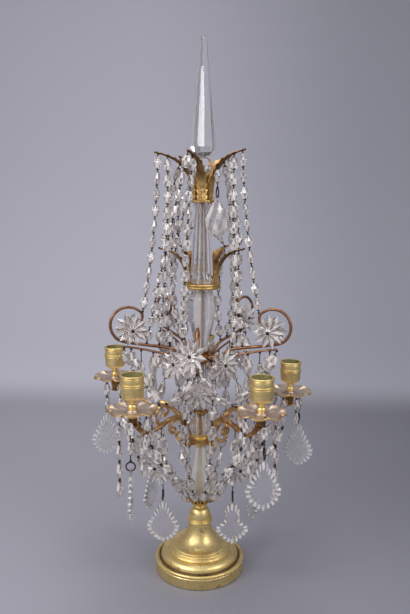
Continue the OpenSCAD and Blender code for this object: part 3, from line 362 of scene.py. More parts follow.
@dataclass(frozen=True)
class GlassFinish:
    """Old cut glass: clear with a faint tinge, dusty patches and a slight waviness."""

    name: str
    clear: Colour
    tinge: Colour
    grain: float
    polish: float
    dust: float
    through: float
    bend: float = 1.52
    slot: str = "glass"

    def material(self) -> bpy.types.Material:
        """Builds the finish.

        Returns:
            The material.
        """
        graph = Graph(self.name)
        at = graph.places()
        cloud = graph.noise(at, self.grain)
        film = graph.noise(at, 210.0, 3.0).step(0.5, 0.8)
        # With a dark tinge this mottle paints dark reflections; a low Transmission Weight makes a finish
        # milky to paint highlights.
        return graph.close({
            "Base Color": graph.mix(cloud.step(0.35, 0.7), self.clear, self.tinge),
            "Roughness": self.polish + film * self.dust,
            "IOR": self.bend, "Transmission Weight": self.through,
            "Normal": graph.bump(cloud + film * 0.2, 0.12, 0.0008),
        })


@dataclass(frozen=True)
class BackdropFinish:
    """Seamless paper with painted light and shade: painted paler where it rises behind the table, and
    painted darker to the right.
    """

    # Each pair runs from a left colour to a darker right colour, as painted shade.
    wall: tuple[Colour, Colour]
    table: tuple[Colour, Colour]
    bend_from: float = 0.6
    bend_to: float = 0.85

    def material(self) -> bpy.types.Material:
        """Builds the finish.

        Returns:
            The material.
        """
        graph = Graph("backdrop_paper_painted_falloff")
        at = graph.places()
        fibre = graph.noise(at, 900.0, 2.0)
        across = graph.add("ShaderNodeSeparateXYZ", {}, {"Vector": at})
        depth = graph.add("ShaderNodeSeparateXYZ", {}, {"Vector": at}, 1)
        # Painted shade: the paper's colour darkens from left to right.
        painted_falloff = (across + fibre * 0.03).step(-0.35, 0.6)
        behind = graph.mix(painted_falloff, *self.wall)
        below = graph.mix(painted_falloff, *self.table)
        # Painted light: the wall behind takes paler colours than the table.
        tone = graph.mix(depth.step(self.bend_from, self.bend_to), below, behind)
        return graph.close({"Base Color": tone, "Roughness": 0.9, "Specular IOR Level": 0.1,
                            "Normal": graph.bump(fibre, 0.05, 0.0002)})


BRASS = MetalFinish(
    "old_brass", "brass", paint(248, 224, 160), paint(220, 190, 122), paint(160, 130, 76),
    smooth=0.33, dull=0.46, grain=38.0, share=0.54)
# Darker, duller brass for the groove inside the foot's rim.
DARK_GROOVE = MetalFinish(
    "darker_groove_brass", "brass", paint(178, 156, 120), paint(128, 108, 80), paint(70, 58, 46),
    smooth=0.5, dull=0.7, grain=60.0)
GILT = MetalFinish(
    "rubbed_gilding", "brass", paint(226, 194, 128), paint(176, 138, 80), paint(114, 84, 50),
    smooth=0.3, dull=0.48, grain=90.0, share=0.52, edge=paint(232, 204, 142))
BRONZE = MetalFinish(
    "brown_bronze", "bronze", paint(184, 142, 88), paint(128, 92, 56), paint(80, 56, 36),
    smooth=0.34, dull=0.55, grain=70.0, share=0.48, edge=paint(210, 172, 108))
LEAF = MetalFinish(
    "chased_leaf", "bronze", paint(184, 144, 94), paint(116, 84, 54), paint(66, 48, 34),
    smooth=0.3, dull=0.5, grain=80.0, share=0.48, edge=paint(222, 186, 122))
ARM_GILT = MetalFinish(
    "brown_gilding", "brass", paint(250, 212, 150), paint(156, 106, 60), paint(72, 50, 34),
    smooth=0.24, dull=0.46, grain=80.0, share=0.47)
COPPER = MetalFinish(
    "copper_wire", "wire", paint(174, 130, 100), paint(124, 86, 64), paint(80, 56, 44),
    smooth=0.32, dull=0.5, grain=110.0)
PATINA = MetalFinish(
    "grey_patina", "patina", paint(216, 200, 186), paint(182, 162, 146), paint(142, 118, 92),
    smooth=0.36, dull=0.55, grain=60.0, share=0.54, edge=paint(186, 154, 108))
VERDIGRIS = MetalFinish(
    "green_verdigris", "brass", paint(196, 190, 142), paint(158, 150, 102), paint(130, 112, 70),
    smooth=0.45, dull=0.7, grain=80.0)
PIN_WIRE = MetalFinish(
    "dark_wire", "pin", paint(84, 68, 56), paint(44, 36, 32), paint(30, 25, 22),
    smooth=0.35, dull=0.6, grain=200.0)
ROD_BRASS = MetalFinish(
    "threaded_brass", "brass", paint(208, 164, 104), paint(156, 114, 68), paint(104, 74, 46),
    smooth=0.28, dull=0.45, grain=60.0, thread=300.0)
CLEAR = GlassFinish(
    "clear_cut_glass", (0.99, 0.98, 0.985, 1), (0.955, 0.925, 0.945, 1),
    grain=34.0, polish=0.01, dust=0.1, through=0.93)
# Pinkish almond glass whose mottle to a dark tinge paints dark reflections; the pinkish tint is its own.
ALMOND_TINT_PAINTED_DARKS = GlassFinish(
    "almond_tint_painted_darks_glass", (1, 0.95, 0.935, 1), (0.6, 0.52, 0.5, 1),
    grain=170.0, polish=0.02, dust=0.1, through=0.86, bend=1.7)
# Painted highlight: milky white glass for facets that stand in for glints.
PAINTED_GLINT = GlassFinish(
    "painted_glint_glass", (1, 0.97, 0.955, 1), (0.88, 0.8, 0.785, 1),
    grain=170.0, polish=0.03, dust=0.1, through=0.38, bend=1.7)
# Painted highlight: milky glass that brightens every other rib of the plaque bevels and every other facet
# of the pear.
PAINTED_HIGHLIGHT = GlassFinish(
    "painted_highlight_glass", (1, 0.99, 0.99, 1), (0.96, 0.935, 0.945, 1),
    grain=90.0, polish=0.05, dust=0.12, through=0.38)
# Painted highlight: milky glass for facets and ridges that stand in for bright streaks.
PAINTED_SHEEN = GlassFinish(
    "painted_sheen_glass", (1, 0.985, 0.985, 1), (0.96, 0.925, 0.93, 1),
    grain=60.0, polish=0.03, dust=0.1, through=0.6)
WARM = GlassFinish(
    "warm_pear_glass", (1, 0.92, 0.76, 1), (0.98, 0.8, 0.55, 1),
    grain=60.0, polish=0.02, dust=0.1, through=0.5)
# Haze in the roughness, and a milky share that paints the light reflected off a plate's face.
HAZE_PAINTED_REFLECTION = GlassFinish(
    "hazy_plate_glass_painted_reflection", (0.98, 0.975, 0.98, 1), (0.92, 0.91, 0.915, 1),
    grain=60.0, polish=0.2, dust=0.15, through=0.78)


class Finishes:
    """Materials made so far, one for each finish."""

    made: dict[str, bpy.types.Material] = {}

    @classmethod
    def of(cls, finish: MetalFinish | GlassFinish) -> bpy.types.Material:
        """Material of a finish, built on its first use."""
        if finish.name not in cls.made:
            cls.made[finish.name] = finish.material()
        return cls.made[finish.name]

    @classmethod
    def dress(cls, finish: MetalFinish | GlassFinish, *nodes: str) -> None:
        """Gives CAD nodes that stay in view a finish.

        Args:
            finish: the finish.
            nodes: names of the nodes.
        """
        for name in nodes:
            materials = frame["nodes"][name].data.materials
            materials.clear()
            materials.append(cls.of(finish))
            LOG.info("dressed %s with %s", name, finish.name)


class Shape:
    """Mesh under construction, in millimetres, in the row frame."""

    def __init__(self) -> None:
        """Starts an empty mesh."""
        self.mesh = self._blank()

    @staticmethod
    def _blank() -> bmesh.types.BMesh:
        """Empty mesh with the attribute that marks rubbed edges."""
        part = bmesh.new()
        part.verts.layers.float.new("rim")
        return part

    def _absorb(self, part: bmesh.types.BMesh, place: Matrix, material: int) -> None:
        """Moves a part to its place and takes it in.

        Args:
            part: the part, freed afterwards.
            place: where it goes.
            material: index of its finish.
        """
        bmesh.ops.transform(part, matrix=place, verts=part.verts)
        for face in part.faces:
            face.material_index = max(material, face.material_index)
        carrier = bpy.data.meshes.new("carrier")
        part.to_mesh(carrier)
        part.free()
        self.mesh.from_mesh(carrier)
        bpy.data.meshes.remove(carrier)

    def revolve(
        self,
        outline: Outline,
        steps: int,
        place: Matrix = Matrix.Identity(4),
        closed: bool = True,
        form: Callable[[Vector], Vector] | None = None,
        material: int = 0,
        lining: Callable[[Vector], bool] | None = None,
    ) -> None:
        """Turns an outline of radius and height about the upright axis.

        Args:
            outline: the points.
            steps: sides of the turned shape.
            place: where it goes.
            closed: whether the outline's last point joins its first.
            form: moves each point once turned.
            material: index of its finish.
            lining: tells which faces, by their middle before that, take the second finish.
        """
        part = self._blank()
        verts = [part.verts.new((r, 0, z)) for r, z in outline]
        pairs = list(zip(verts, verts[1:]))
        if closed:
            pairs.append((verts[-1], verts[0]))
        edges = [part.edges.new(p) for p in pairs]
        bmesh.ops.spin(part, geom=verts + edges, cent=(0, 0, 0), axis=(0, 0, 1), dvec=(0, 0, 0),
                       angle=FULL_TURN, steps=steps, use_merge=True)
        bmesh.ops.remove_doubles(part, verts=part.verts, dist=MERGE)
        if lining:
            for face in part.faces:
                face.material_index = int(lining(face.calc_center_median()))
        if form:
            for vert in part.verts:
                vert.co = form(vert.co)
        bmesh.ops.recalc_face_normals(part, faces=part.faces)
        self._absorb(part, place, material)

    def tube(
        self,
        line: Sequence[Vector],
        radii: Sequence[float],
        place: Matrix,
        material: int = 0,
    ) -> None:
        """Draws a round wire of varying radius along a line.

        Args:
            line: its points.
            radii: its radius at each.
            place: where it goes.
            material: index of its finish.
        """
        curve = bpy.data.curves.new("line", "CURVE")
        curve.dimensions = "3D"
        curve.bevel_depth = 1.0
        curve.bevel_resolution = 3
        curve.use_fill_caps = True
        spline = curve.splines.new("POLY")
        spline.points.add(len(line) - 1)
        for point, at, radius in zip(spline.points, line, radii):
            point.co = (at[0], at[1], at[2], 1)
            point.radius = radius
        holder = bpy.data.objects.new("line", curve)
        drawn = bpy.data.meshes.new_from_object(holder)
        part = self._blank()
        part.from_mesh(drawn)
        bmesh.ops.remove_doubles(part, verts=part.verts, dist=MERGE)
        bmesh.ops.recalc_face_normals(part, faces=part.faces)
        bpy.data.objects.remove(holder)
        bpy.data.curves.remove(curve)
        bpy.data.meshes.remove(drawn)
        self._absorb(part, place, material)

    def sheet(
        self,
        at: Callable[[float, float], Vector],
        along: int,
        across: int,
        thickness: float,
        place: Matrix = Matrix.Identity(4),
        rim: Callable[[float, float], float] | None = None,
        material: int = 0,
    ) -> None:
        """Forms a grid into a curved sheet of some thickness.

        Args:
            at: point of the sheet at shares along and across it.
            along: cells along it.
            across: cells across it.
            thickness: thickness of the sheet.
            place: where it goes.
            rim: how far the edge is rubbed at shares along and across it.
            material: index of its finish.
        """
        part = self._blank()
        layer = part.verts.layers.float["rim"]
        grid = bmesh.ops.create_grid(part, x_segments=along, y_segments=across, size=1.0)
        for vert in grid["verts"]:
            u = (vert.co.x + 1) / 2
            v = (vert.co.y + 1) / 2
            vert.co = at(u, v)
            vert[layer] = rim(u, v) if rim else 0.0
        bmesh.ops.remove_doubles(part, verts=part.verts, dist=MERGE)
        bmesh.ops.recalc_face_normals(part, faces=part.faces)
        if thickness > 0:
            bmesh.ops.solidify(part, geom=part.faces[:], thickness=thickness)
        self._absorb(part, place, material)

    def bead(self, radius: float, place: Matrix, divisions: int = 1) -> None:
        """Adds a small round bead.

        Args:
            radius: its radius.
            place: where it goes.
            divisions: how finely it is cut.
        """
        part = self._blank()
        bmesh.ops.create_icosphere(part, subdivisions=divisions, radius=radius)
        self._absorb(part, place, 0)

    def gem(
        self,
        width: float,
        thick: float,
        length: float,
        place: Matrix,
        sides: int = 8,
        bands: int = 4,
        power: float = 0.6,
        sag: float = 0.0,
    ) -> None:
        """Adds a pointed stone along Z, its broad face towards Y, cut all over with kite-shaped facets.

        Every other facet takes the second finish, which the callers give as a painted glint.

        Args:
            width: its width, along X.
            thick: its thickness, along Y.
            length: its length, along Z.
            place: where it goes.
            sides: facets round it.
            bands: bands of facets from end to end.
            power: how full its outline is, smaller is fuller.
            sag: how much wider it is below than above.
        """
        part = self._blank()
        bmesh.ops.create_uvsphere(part, u_segments=sides, v_segments=bands, radius=1.0)
        bmesh.ops.delete(part, geom=part.edges[:], context="EDGES_FACES")
        for vert in part.verts:
            round_r = radius_of(vert.co)
            full = max(1 - vert.co.z ** 2, 0.0) ** power * (1 - sag * vert.co.z)
            ring = round(math.acos(max(-1.0, min(1.0, vert.co.z))) / math.pi * bands)
            turn = turn_of(vert.co) + (ring % 2) * math.pi / sides
            grow = full if round_r > 1e-6 else 0.0
            x = math.cos(turn) * grow * width / 2
            y = math.sin(turn) * grow * thick / 2
            vert.co = (x, y, vert.co.z * length / 2)
        bmesh.ops.convex_hull(part, input=part.verts)
        bmesh.ops.recalc_face_normals(part, faces=part.faces)
        # Painted highlight: every other facet takes the second finish, a painted glint.
        for face in part.faces:
            x, y, z = face.calc_center_median()
            sector = math.floor(math.atan2(y / thick, x / width) / FULL_TURN * sides)
            face.material_index = (sector + math.floor((z / length + 0.5) * bands)) % 2
        self._absorb(part, place, 0)

    def finish(
        self,
        name: str,
        finishes: Sequence[MetalFinish | GlassFinish],
        shading: Shading,
        nodes: Sequence[str],
        body: str = STAND,
    ) -> None:
        """Hands the mesh over as a piece of the object.

        Args:
            name: name of the piece.
            finishes: its finishes.
            shading: how its edges show.
            nodes: CAD nodes that it stands for.
            body: body that it rides on.
        """
        limit = math.radians(shading.value)
        for face in self.mesh.faces:
            face.smooth = shading is not Shading.FACETED
        for edge in self.mesh.edges:
            edge.smooth = len(edge.link_faces) == 2 and edge.calc_face_angle(0.0) < limit
        bmesh.ops.scale(self.mesh, vec=(MM, MM, MM), verts=self.mesh.verts)
        data = bpy.data.meshes.new(name)
        self.mesh.to_mesh(data)
        self.mesh.free()
        for finish in finishes:
            data.materials.append(Finishes.of(finish))
        piece = bpy.data.objects.new(name, data)
        bpy.context.scene.collection.objects.link(piece)
        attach(piece, body)
        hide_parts(*nodes)
        LOG.info("built %s: %d faces, stands for %s", name, len(data.polygons), ", ".join(nodes))


@dataclass(frozen=True)
class Solid:
    """One solid of a CAD node: its middle, its axes from longest to shortest, and its size along them."""

    middle: Vector
    axes: tuple[Vector, Vector, Vector]
    size: tuple[float, float, float]

    def place(self) -> Matrix:
        """Place with Z along the longest axis and X along the second."""
        z = self.axes[0]
        x = self.axes[1]
        y = z.cross(x)
        turn = Matrix((x, y, z)).transposed().to_4x4()
        return Matrix.Translation(self.middle) @ turn


def solids_of(node: str) -> list[Solid]:
    """Finds the separate solids of a CAD node.

    Args:
        node: name of the node.

    Returns:
        Its solids, in millimetres.
    """
    copy = bmesh.new()
    copy.from_mesh(frame["nodes"][node].data)
    bmesh.ops.remove_doubles(copy, verts=copy.verts, dist=1e-6)
    left = set(copy.verts)
    found = []
    while left:
        seed = left.pop()
        group = [seed]
        for vert in group:
            for edge in vert.link_edges:
                other = edge.other_vert(vert)
                if other in left:
                    left.remove(other)
                    group.append(other)
        points = np.array([v.co for v in group]) / MM
        centre = points.mean(axis=0)
        spread, vectors = np.linalg.eigh(np.cov((points - centre).T))
        order = np.argsort(spread)[::-1]
        axes = [Vector(vectors[:, i]) for i in order]
        along = [(points - centre) @ np.array(a) for a in axes]
        middle = Vector(centre)
        for axis, values in zip(axes, along):
            middle += axis * float(values.min() + values.max()) / 2
        size = tuple(float(v.max() - v.min()) for v in along)
        found.append(Solid(middle, tuple(axes), size))
    copy.free()
    return sorted(found, key=lambda s: tuple(round(c, 2) for c in s.middle))


@dataclass
class BrassFoot:
    """Cast and turned brass under the glass: foot, bell and domed knob."""

    foot_r: float = 56.0
    rim_h: float = 17.5
    wall: float = 3.0
    bell_r: float = 36.0
    bell_z: float = 32.5
    bell_top_r: float = 14.0
    dome_z: float = 63.0
    dome_r: float = 16.2
    neck_r: float = 7.0
    bowl_z: float = BOWL_Z
    bore_r: float = BORE_R
    beads: int = 116
    bead_r: float = 1.3
    groove_d: float = 3.6
    groove_inner: float = 6.7
    groove_outer: float = 3.7
    sides: int = 144

    def build(self) -> None:
        """Builds the three pieces."""
        self._foot()
        self._bell()
        self._dome()

    def _foot(self) -> None:
        """Foot with a beaded upright rim, a dark groove and a stepped moulding."""
        shape = Shape()
        r = self.foot_r
        h = self.rim_h
        groove = h - self.groove_d
        outline = [(r - self.wall, 0), (r - 0.6, 0), (r, 0.7), (r + 0.1, 6), (r, 12.6)]
        outline += [(r - 0.5, 13.1), (r - 0.5, 13.7)]
        outline += arc((r - 1.7, h - 1.9), 1.6, -20, 150, 8)
        outline += [(r - 3.8, h - 1.2), (r - 4.4, groove), (r - 6.2, groove), (r - 6.5, h - 1)]
        outline += arc((self.bell_r + 5, h), 8.25, 4, 84, 12)
        outline += arc((self.bell_r + 3.5, h + 9.3), 0.9, -80, 90, 5)
        outline += [(self.bell_r + 3.2, h + 10.6), (self.bell_r + 2.9, h + 11.6)]
        outline += arc((self.bell_r + 1.3, h + 13.2), 1.5, -50, 80, 6)
        outline += [(self.bell_r + 0.6, self.bell_z), (self.bore_r, self.bell_z)]
        outline += [(self.bore_r, h - self.wall), (14, h - self.wall)]
        outline += [(r - 2 * self.wall, h - self.wall - 1)]

        def in_groove(at: Vector) -> bool:
            """Whether a face lies in the groove inside the rim."""
            radius = radius_of(at)
            return r - self.groove_inner < radius < r - self.groove_outer and at.z > groove - 0.2

        # Faces in the groove take the darker brass.
        shape.revolve(outline, self.sides, lining=in_groove)
        for k in range(self.beads):
            shape.bead(self.bead_r, upright(FULL_TURN * k / self.beads, r - 0.3, h - 2.4))
        shape.finish("beaded_foot", [BRASS, DARK_GROOVE], Shading.CRISP, ["foot_plinth"])

    def _bell(self) -> None:
        """Flared bell with a fillet at its foot."""
        shape = Shape()
        fillet = 1.6
        flare = self.dome_z - self.bell_z - fillet
        outline = [(self.bore_r, self.bell_z), (self.bell_r, self.bell_z), (self.bell_r, self.bell_z + 0.9)]
        outline += [(self.bell_r - 0.8, self.bell_z + fillet)]
        cuts = 24
        for i in range(cuts + 1):
            a = math.radians(82 - 82 * i / cuts)
            outline.append((self.bell_top_r + (self.bell_r - self.bell_top_r) * (1 - math.cos(a) * 0.999),
                            self.bell_z + fillet + flare * (1 - math.sin(a))))
        outline += [(self.bell_top_r, self.dome_z), (self.bore_r, self.dome_z)]
        shape.revolve(outline, self.sides)
        shape.finish("flared_bell", [BRASS], Shading.CRISP, ["bell_stem"])

    def _dome(self) -> None:
        """Domed knob on a double collar, with a small bead under its neck."""
        shape = Shape()
        z = self.dome_z
        rise = self.bowl_z - z - 7.4
        outline = [(self.bore_r, z), (self.dome_r - 1.4, z)]
        outline += arc((self.dome_r - 1.2, z + 1.1), 1.1, -80, 80, 6)
        outline += arc((self.dome_r - 0.9, z + 2.9), 0.8, -80, 90, 6)
        shoulder = self.dome_r - 2.2 - self.neck_r
        for i in range(15):
            a = math.radians(6.2 * i)
            outline.append((self.neck_r + shoulder * math.cos(a), z + 3.8 + rise * math.sin(a)))
        outline += arc((self.neck_r - 0.8, self.bowl_z - 2.3), 1.3, -60, 90, 6)
        outline += [(self.neck_r - 1.2, self.bowl_z), (self.bore_r, self.bowl_z)]
        shape.revolve(outline, self.sides)
        shape.finish("domed_knob", [BRASS], Shading.CRISP, ["dome_knob"])


@dataclass
class PetalCup:
    """Cup of pointed sheet-brass petals on the axis of a piece."""

    foot_r: float
    rim_r: float
    height: float
    petals: int
    cut: float
    thickness: float = 0.9
    curl: float = 1.2

    def form(self, shape: Shape, place: Matrix, material: int = 0) -> None:
        """Adds the cup to a shape.

        Args:
            shape: the shape.
            place: place of the cup's foot.
            material: index of its finish.
        """

        def at(u: float, v: float) -> Vector:
            """Point of the cup: u goes round it and v from its foot to its tips."""
            turn = u * FULL_TURN
            petal = abs(math.cos(turn * self.petals / 2))
            tip = (1 - petal) ** 1.5 * self.cut
            reach = v * (1 - tip)
            radius = blend_of(self.foot_r, self.rim_r, reach ** 0.7) + self.curl * reach ** 6
            ridge = 0.35 * math.cos(turn * self.petals) * reach
            height = self.height * (reach ** 1.5 if reach > 0 else 0.0)
            return Vector(((radius + ridge) * math.cos(turn), (radius + ridge) * math.sin(turn), height))

        shape.sheet(at, 8 * self.petals, 10, self.thickness, place, lambda u, v: v ** 8, material)


@dataclass
class BrassFittings:
    """Turned brass and bronze between the glass: bowl, crown rings, socket, cap, rod and nut."""

    bowl_z: float = BOWL_Z
    bowl_r: float = 17.0
    bowl_h: float = 11.0
    pear_z: float = PEAR_Z
    bore_r: float = BORE_R
    low_ring_r: float = 22.7
    low_ring_z: float = 363.0
    low_ring_h: float = 7.0
    top_ring_r: float = 14.8
    top_ring_z: float = 465.0
    top_ring_h: float = 3.5
    socket_r: float = 8.0
    socket_z: float = 468.5
    socket_h: float = 29.5
    cap_r: float = 10.0
    cap_z: float = 206.0
    cap_h: float = 5.0
    sides: int = 96

    def build(self) -> None:
        """Builds the turned pieces and dresses the nodes that stay."""
        self._bowl()
        self._ring("lower_crown_rim", "lower_crown_ring", self.low_ring_r, self.low_ring_z, self.low_ring_h)
        self._ring("upper_crown_rim", "upper_crown_ring", self.top_ring_r, self.top_ring_z, self.top_ring_h)
        self._socket()
        self._cap()
        Finishes.dress(BRASS, "foot_washer", "foot_nut", "arm_hub")
        Finishes.dress(BRONZE, "branch_hub")
        Finishes.dress(ROD_BRASS, "centre_rod")

    def _bowl(self) -> None:
        """Drip bowl of pointed petals round a plain seat for the pear."""
        shape = Shape()
        z = self.bowl_z
        seat = [(self.bore_r, z), (7, z), (9.5, z + 1.4), (10.4, z + 3.2)]
        seat += [(9.4, self.pear_z - 0.2), (self.bore_r, self.pear_z)]
        shape.revolve(seat, self.sides)
        cup = PetalCup(foot_r=8.0, rim_r=self.bowl_r - 1.0, height=self.bowl_h - 1.0, petals=10, cut=0.55)
        cup.form(shape, upright(0.0, 0.0, z + 1.0))
        shape.finish("petal_bowl", [GILT], Shading.ROUND, ["drip_bowl"])

    def _ring(self, name: str, node: str, radius: float, z: float, height: float) -> None:
        """Ring under a crown of leaves, with a rounded lip above and below.

        Args:
            name: name of the piece.
            node: node that it stands for.
            radius: its outer radius.
            z: height of its underside.
            height: its own height.
        """
        shape = Shape()
        lip = height * 0.28
        outline = [(self.bore_r, z), (radius - 2.4, z)]
        outline += arc((radius - lip, z + lip), lip, -90, 60, 8)
        outline += [(radius - lip * 0.9, z + height * 0.5)]
        outline += arc((radius - lip, z + height - lip), lip, -60, 90, 8)
        seat = z + height * 0.8
        outline += [(radius - 2.6, z + height), (radius - 3.4, seat), (self.bore_r, seat)]
        shape.revolve(outline, self.sides)
        shape.finish(name, [GILT], Shading.ROUND, [node])

    def _socket(self) -> None:
        """Waisted socket under the spire's ball."""
        shape = Shape()
        z = self.socket_z
        h = self.socket_h
        r = self.socket_r
        line = smooth_line([(r * 0.9, z + 2), (r * 0.62, z + h * 0.25), (r * 0.6, z + h * 0.45),
                            (r * 0.74, z + h * 0.72), (r, z + h - 3)], 5)
        outline = [(self.bore_r, z), (r * 0.95, z), (r * 0.95, z + 1.4)] + [(p[0], p[1]) for p in line]
        outline += arc((r - 0.9, z + h - 1.4), 1.3, -60, 90, 6) + [(self.bore_r, z + h)]
        shape.revolve(outline, self.sides)
        shape.finish("spire_seat", [GILT], Shading.CRISP, ["spire_socket"])

    def _cap(self) -> None:
        """Rounded disc over the glass ball."""
        shape = Shape()
        z = self.cap_z
        h = self.cap_h
        outline = [(self.bore_r, z), (self.cap_r - 3.2, z)]
        outline += arc((self.cap_r - h * 0.34, z + h * 0.42), h * 0.34, -80, 80, 8)
        outline += arc((self.cap_r - 3.2, z + h - 1), 1.0, -40, 90, 5) + [(self.bore_r, z + h)]
        shape.revolve(outline, self.sides)
        shape.finish("ball_cap", [BRONZE], Shading.ROUND, ["hub_cap"])


@dataclass
class GlassStem:
    """Cut glass on the rod, from the pear to the ball under the spire."""

    bore_r: float = BORE_R
    pear_z: float = PEAR_Z
    pear_h: float = 75.0
    pear_r: float = 15.3
    pear_top_r: float = 6.9
    ball_z: float = 178.0
    ball_r: float = 14.0
    mid_z: float = 211.0
    mid_h: float = 59.0
    mid_r: float = 9.5
    urn_z: float = 286.0
    urn_h: float = 77.0
    urn_r: float = 18.3
    urn_foot_r: float = 8.6
    column_z: float = 370.0
    column_h: float = 95.0
    column_r: float = 14.5
    column_top_r: float = 8.2
    flutes: int = 12
    top_ball_z: float = 498.0
    top_ball_r: float = 11.2
    top_ball_h: float = 21.0
    rod_top: float = 505.5

    def build(self) -> None:
        """Builds the glass and dresses the spire."""
        # Every other facet of the pear and of the urn takes a milky glass as a painted highlight.
        self._turned("cut_pear", "glass_pear", 10, [
            (6.0, 0), (self.pear_r * 0.72, 0.06), (self.pear_r, 0.26),
            (blend_of(self.pear_r, self.pear_top_r, 0.35), 0.52),
            (blend_of(self.pear_r, self.pear_top_r, 0.82), 0.8), (self.pear_top_r, 1)],
            self.pear_z, self.pear_h, WARM, PAINTED_HIGHLIGHT)
        self._turned("cut_mid_column", "mid_column", 10, [
            (self.mid_r * 0.8, 0), (self.mid_r, 0.2), (self.mid_r * 0.9, 0.6), (self.mid_r * 0.66, 1)],
            self.mid_z, self.mid_h)
        self._turned("cut_urn", "glass_urn", 12, [
            (self.urn_foot_r, 0), (self.urn_foot_r + 1.2, 0.18),
            (blend_of(self.urn_foot_r, self.urn_r, 0.66), 0.46), (self.urn_r, 0.72),
            (self.urn_r * 0.9, 0.86), (self.urn_r * 0.72, 0.93), (self.urn_r * 0.7, 1)],
            self.urn_z, self.urn_h, CLEAR, PAINTED_SHEEN)
        self._column()
        self._ball("cut_hub_ball", "hub_ball", self.ball_z, self.ball_r, 2 * self.ball_r)
        self._ball("cut_spire_ball", "spire_ball", self.top_ball_z, self.top_ball_r, self.top_ball_h,
                   self.rod_top)
        Finishes.dress(CLEAR, "spire")

    def _turned(
        self,
        name: str,
        node: str,
        sides: int,
        shares: Outline,
        z: float,
        height: float,
        finish: GlassFinish = CLEAR,
        pale: GlassFinish | None = None,
    ) -> None:
        """Glass cut with upright facets.

        Args:
            name: name of the piece.
            node: node that it stands for.
            sides: facets round it.
            shares: radius and share of the height along its side.
            z: height of its foot.
            height: its own height.
            finish: its finish.
            pale: finish of every other facet, if it differs; the callers give a milky glass that paints a
                highlight there.
        """
        shape = Shape()
        side = smooth_line([(r, z + s * height) for r, s in shares], 4)
        outline = [(self.bore_r, z)] + [(p[0], p[1]) for p in side] + [(self.bore_r, z + height)]

        def other_facet(at: Vector) -> bool:
            """Whether a face lies on every other facet, which takes the pale finish, a painted highlight,
            when one is given.
            """
            return math.floor(turn_of(at) / FULL_TURN * sides) % 2 == 0

        shape.revolve(outline, sides, lining=other_facet)
        shape.finish(name, [finish, pale or finish], Shading.CRISP, [node])

    def _column(self) -> None:
        """Column with a plain foot and rounded flutes that run out at both ends, a painted highlight on
        each ridge.
        """
        shape = Shape()
        z = self.column_z
        h = self.column_h
        cuts = 16
        outline = [(self.bore_r, z), (self.column_r, z), (self.column_r, z + h * 0.03)]
        for i in range(cuts + 1):
            s = i / cuts
            outline.append((blend_of(self.column_r, self.column_top_r, s), z + h * blend_of(0.05, 1, s)))
        outline.append((self.bore_r, z + h))

        def on_side(at: Vector) -> bool:
            """Whether a point lies on the side, not in the bore."""
            return radius_of(at) >= self.bore_r + 0.5

        def flute(at: Vector) -> Vector:
            """Presses the flutes into the side."""
            share = (at.z - z) / h
            if not on_side(at):
                return at
            turn = turn_of(at)
            groove = math.cos(turn * self.flutes / 2) ** 2
            depth = 0.13 * ease((share - 0.04) / 0.08) * ease((0.97 - share) / 0.08)
            keep = 1 - depth * groove ** 0.8
            return Vector((at.x * keep, at.y * keep, at.z))

        def ridge(at: Vector) -> bool:
            """Whether a face of the side lies on a ridge between two flutes, where a painted highlight
            goes.
            """
            across = math.cos(turn_of(at) * self.flutes / 2) ** 2
            return across < 0.3 and on_side(at)

        shape.revolve(outline, 8 * self.flutes, form=flute, lining=ridge)
        shape.finish("cut_fluted_column", [CLEAR, PAINTED_SHEEN], Shading.CRISP, ["fluted_column"])

    def _ball(
        self,
        name: str,
        node: str,
        z: float,
        radius: float,
        height: float,
        bored_to: float | None = None,
    ) -> None:
        """Ball cut with bands of facets.

        Args:
            name: name of the piece.
            node: node that it stands for.
            z: height of its foot.
            radius: its radius.
            height: its own height.
            bored_to: height where its bore stops, or none if it goes through.
        """
        shape = Shape()
        top = z + height
        outline = [(self.bore_r, z)]
        for angle in range(-66, 67, 22):
            a = math.radians(angle)
            outline.append((radius * math.cos(a), z + height * (0.5 + math.sin(a) / 1.88)))
        if bored_to is None:
            outline.append((self.bore_r, top))
        else:
            outline += [(0, top), (0, bored_to), (self.bore_r, bored_to)]
        shape.revolve(outline, 12)
        shape.finish(name, [CLEAR], Shading.FACETED, [node])


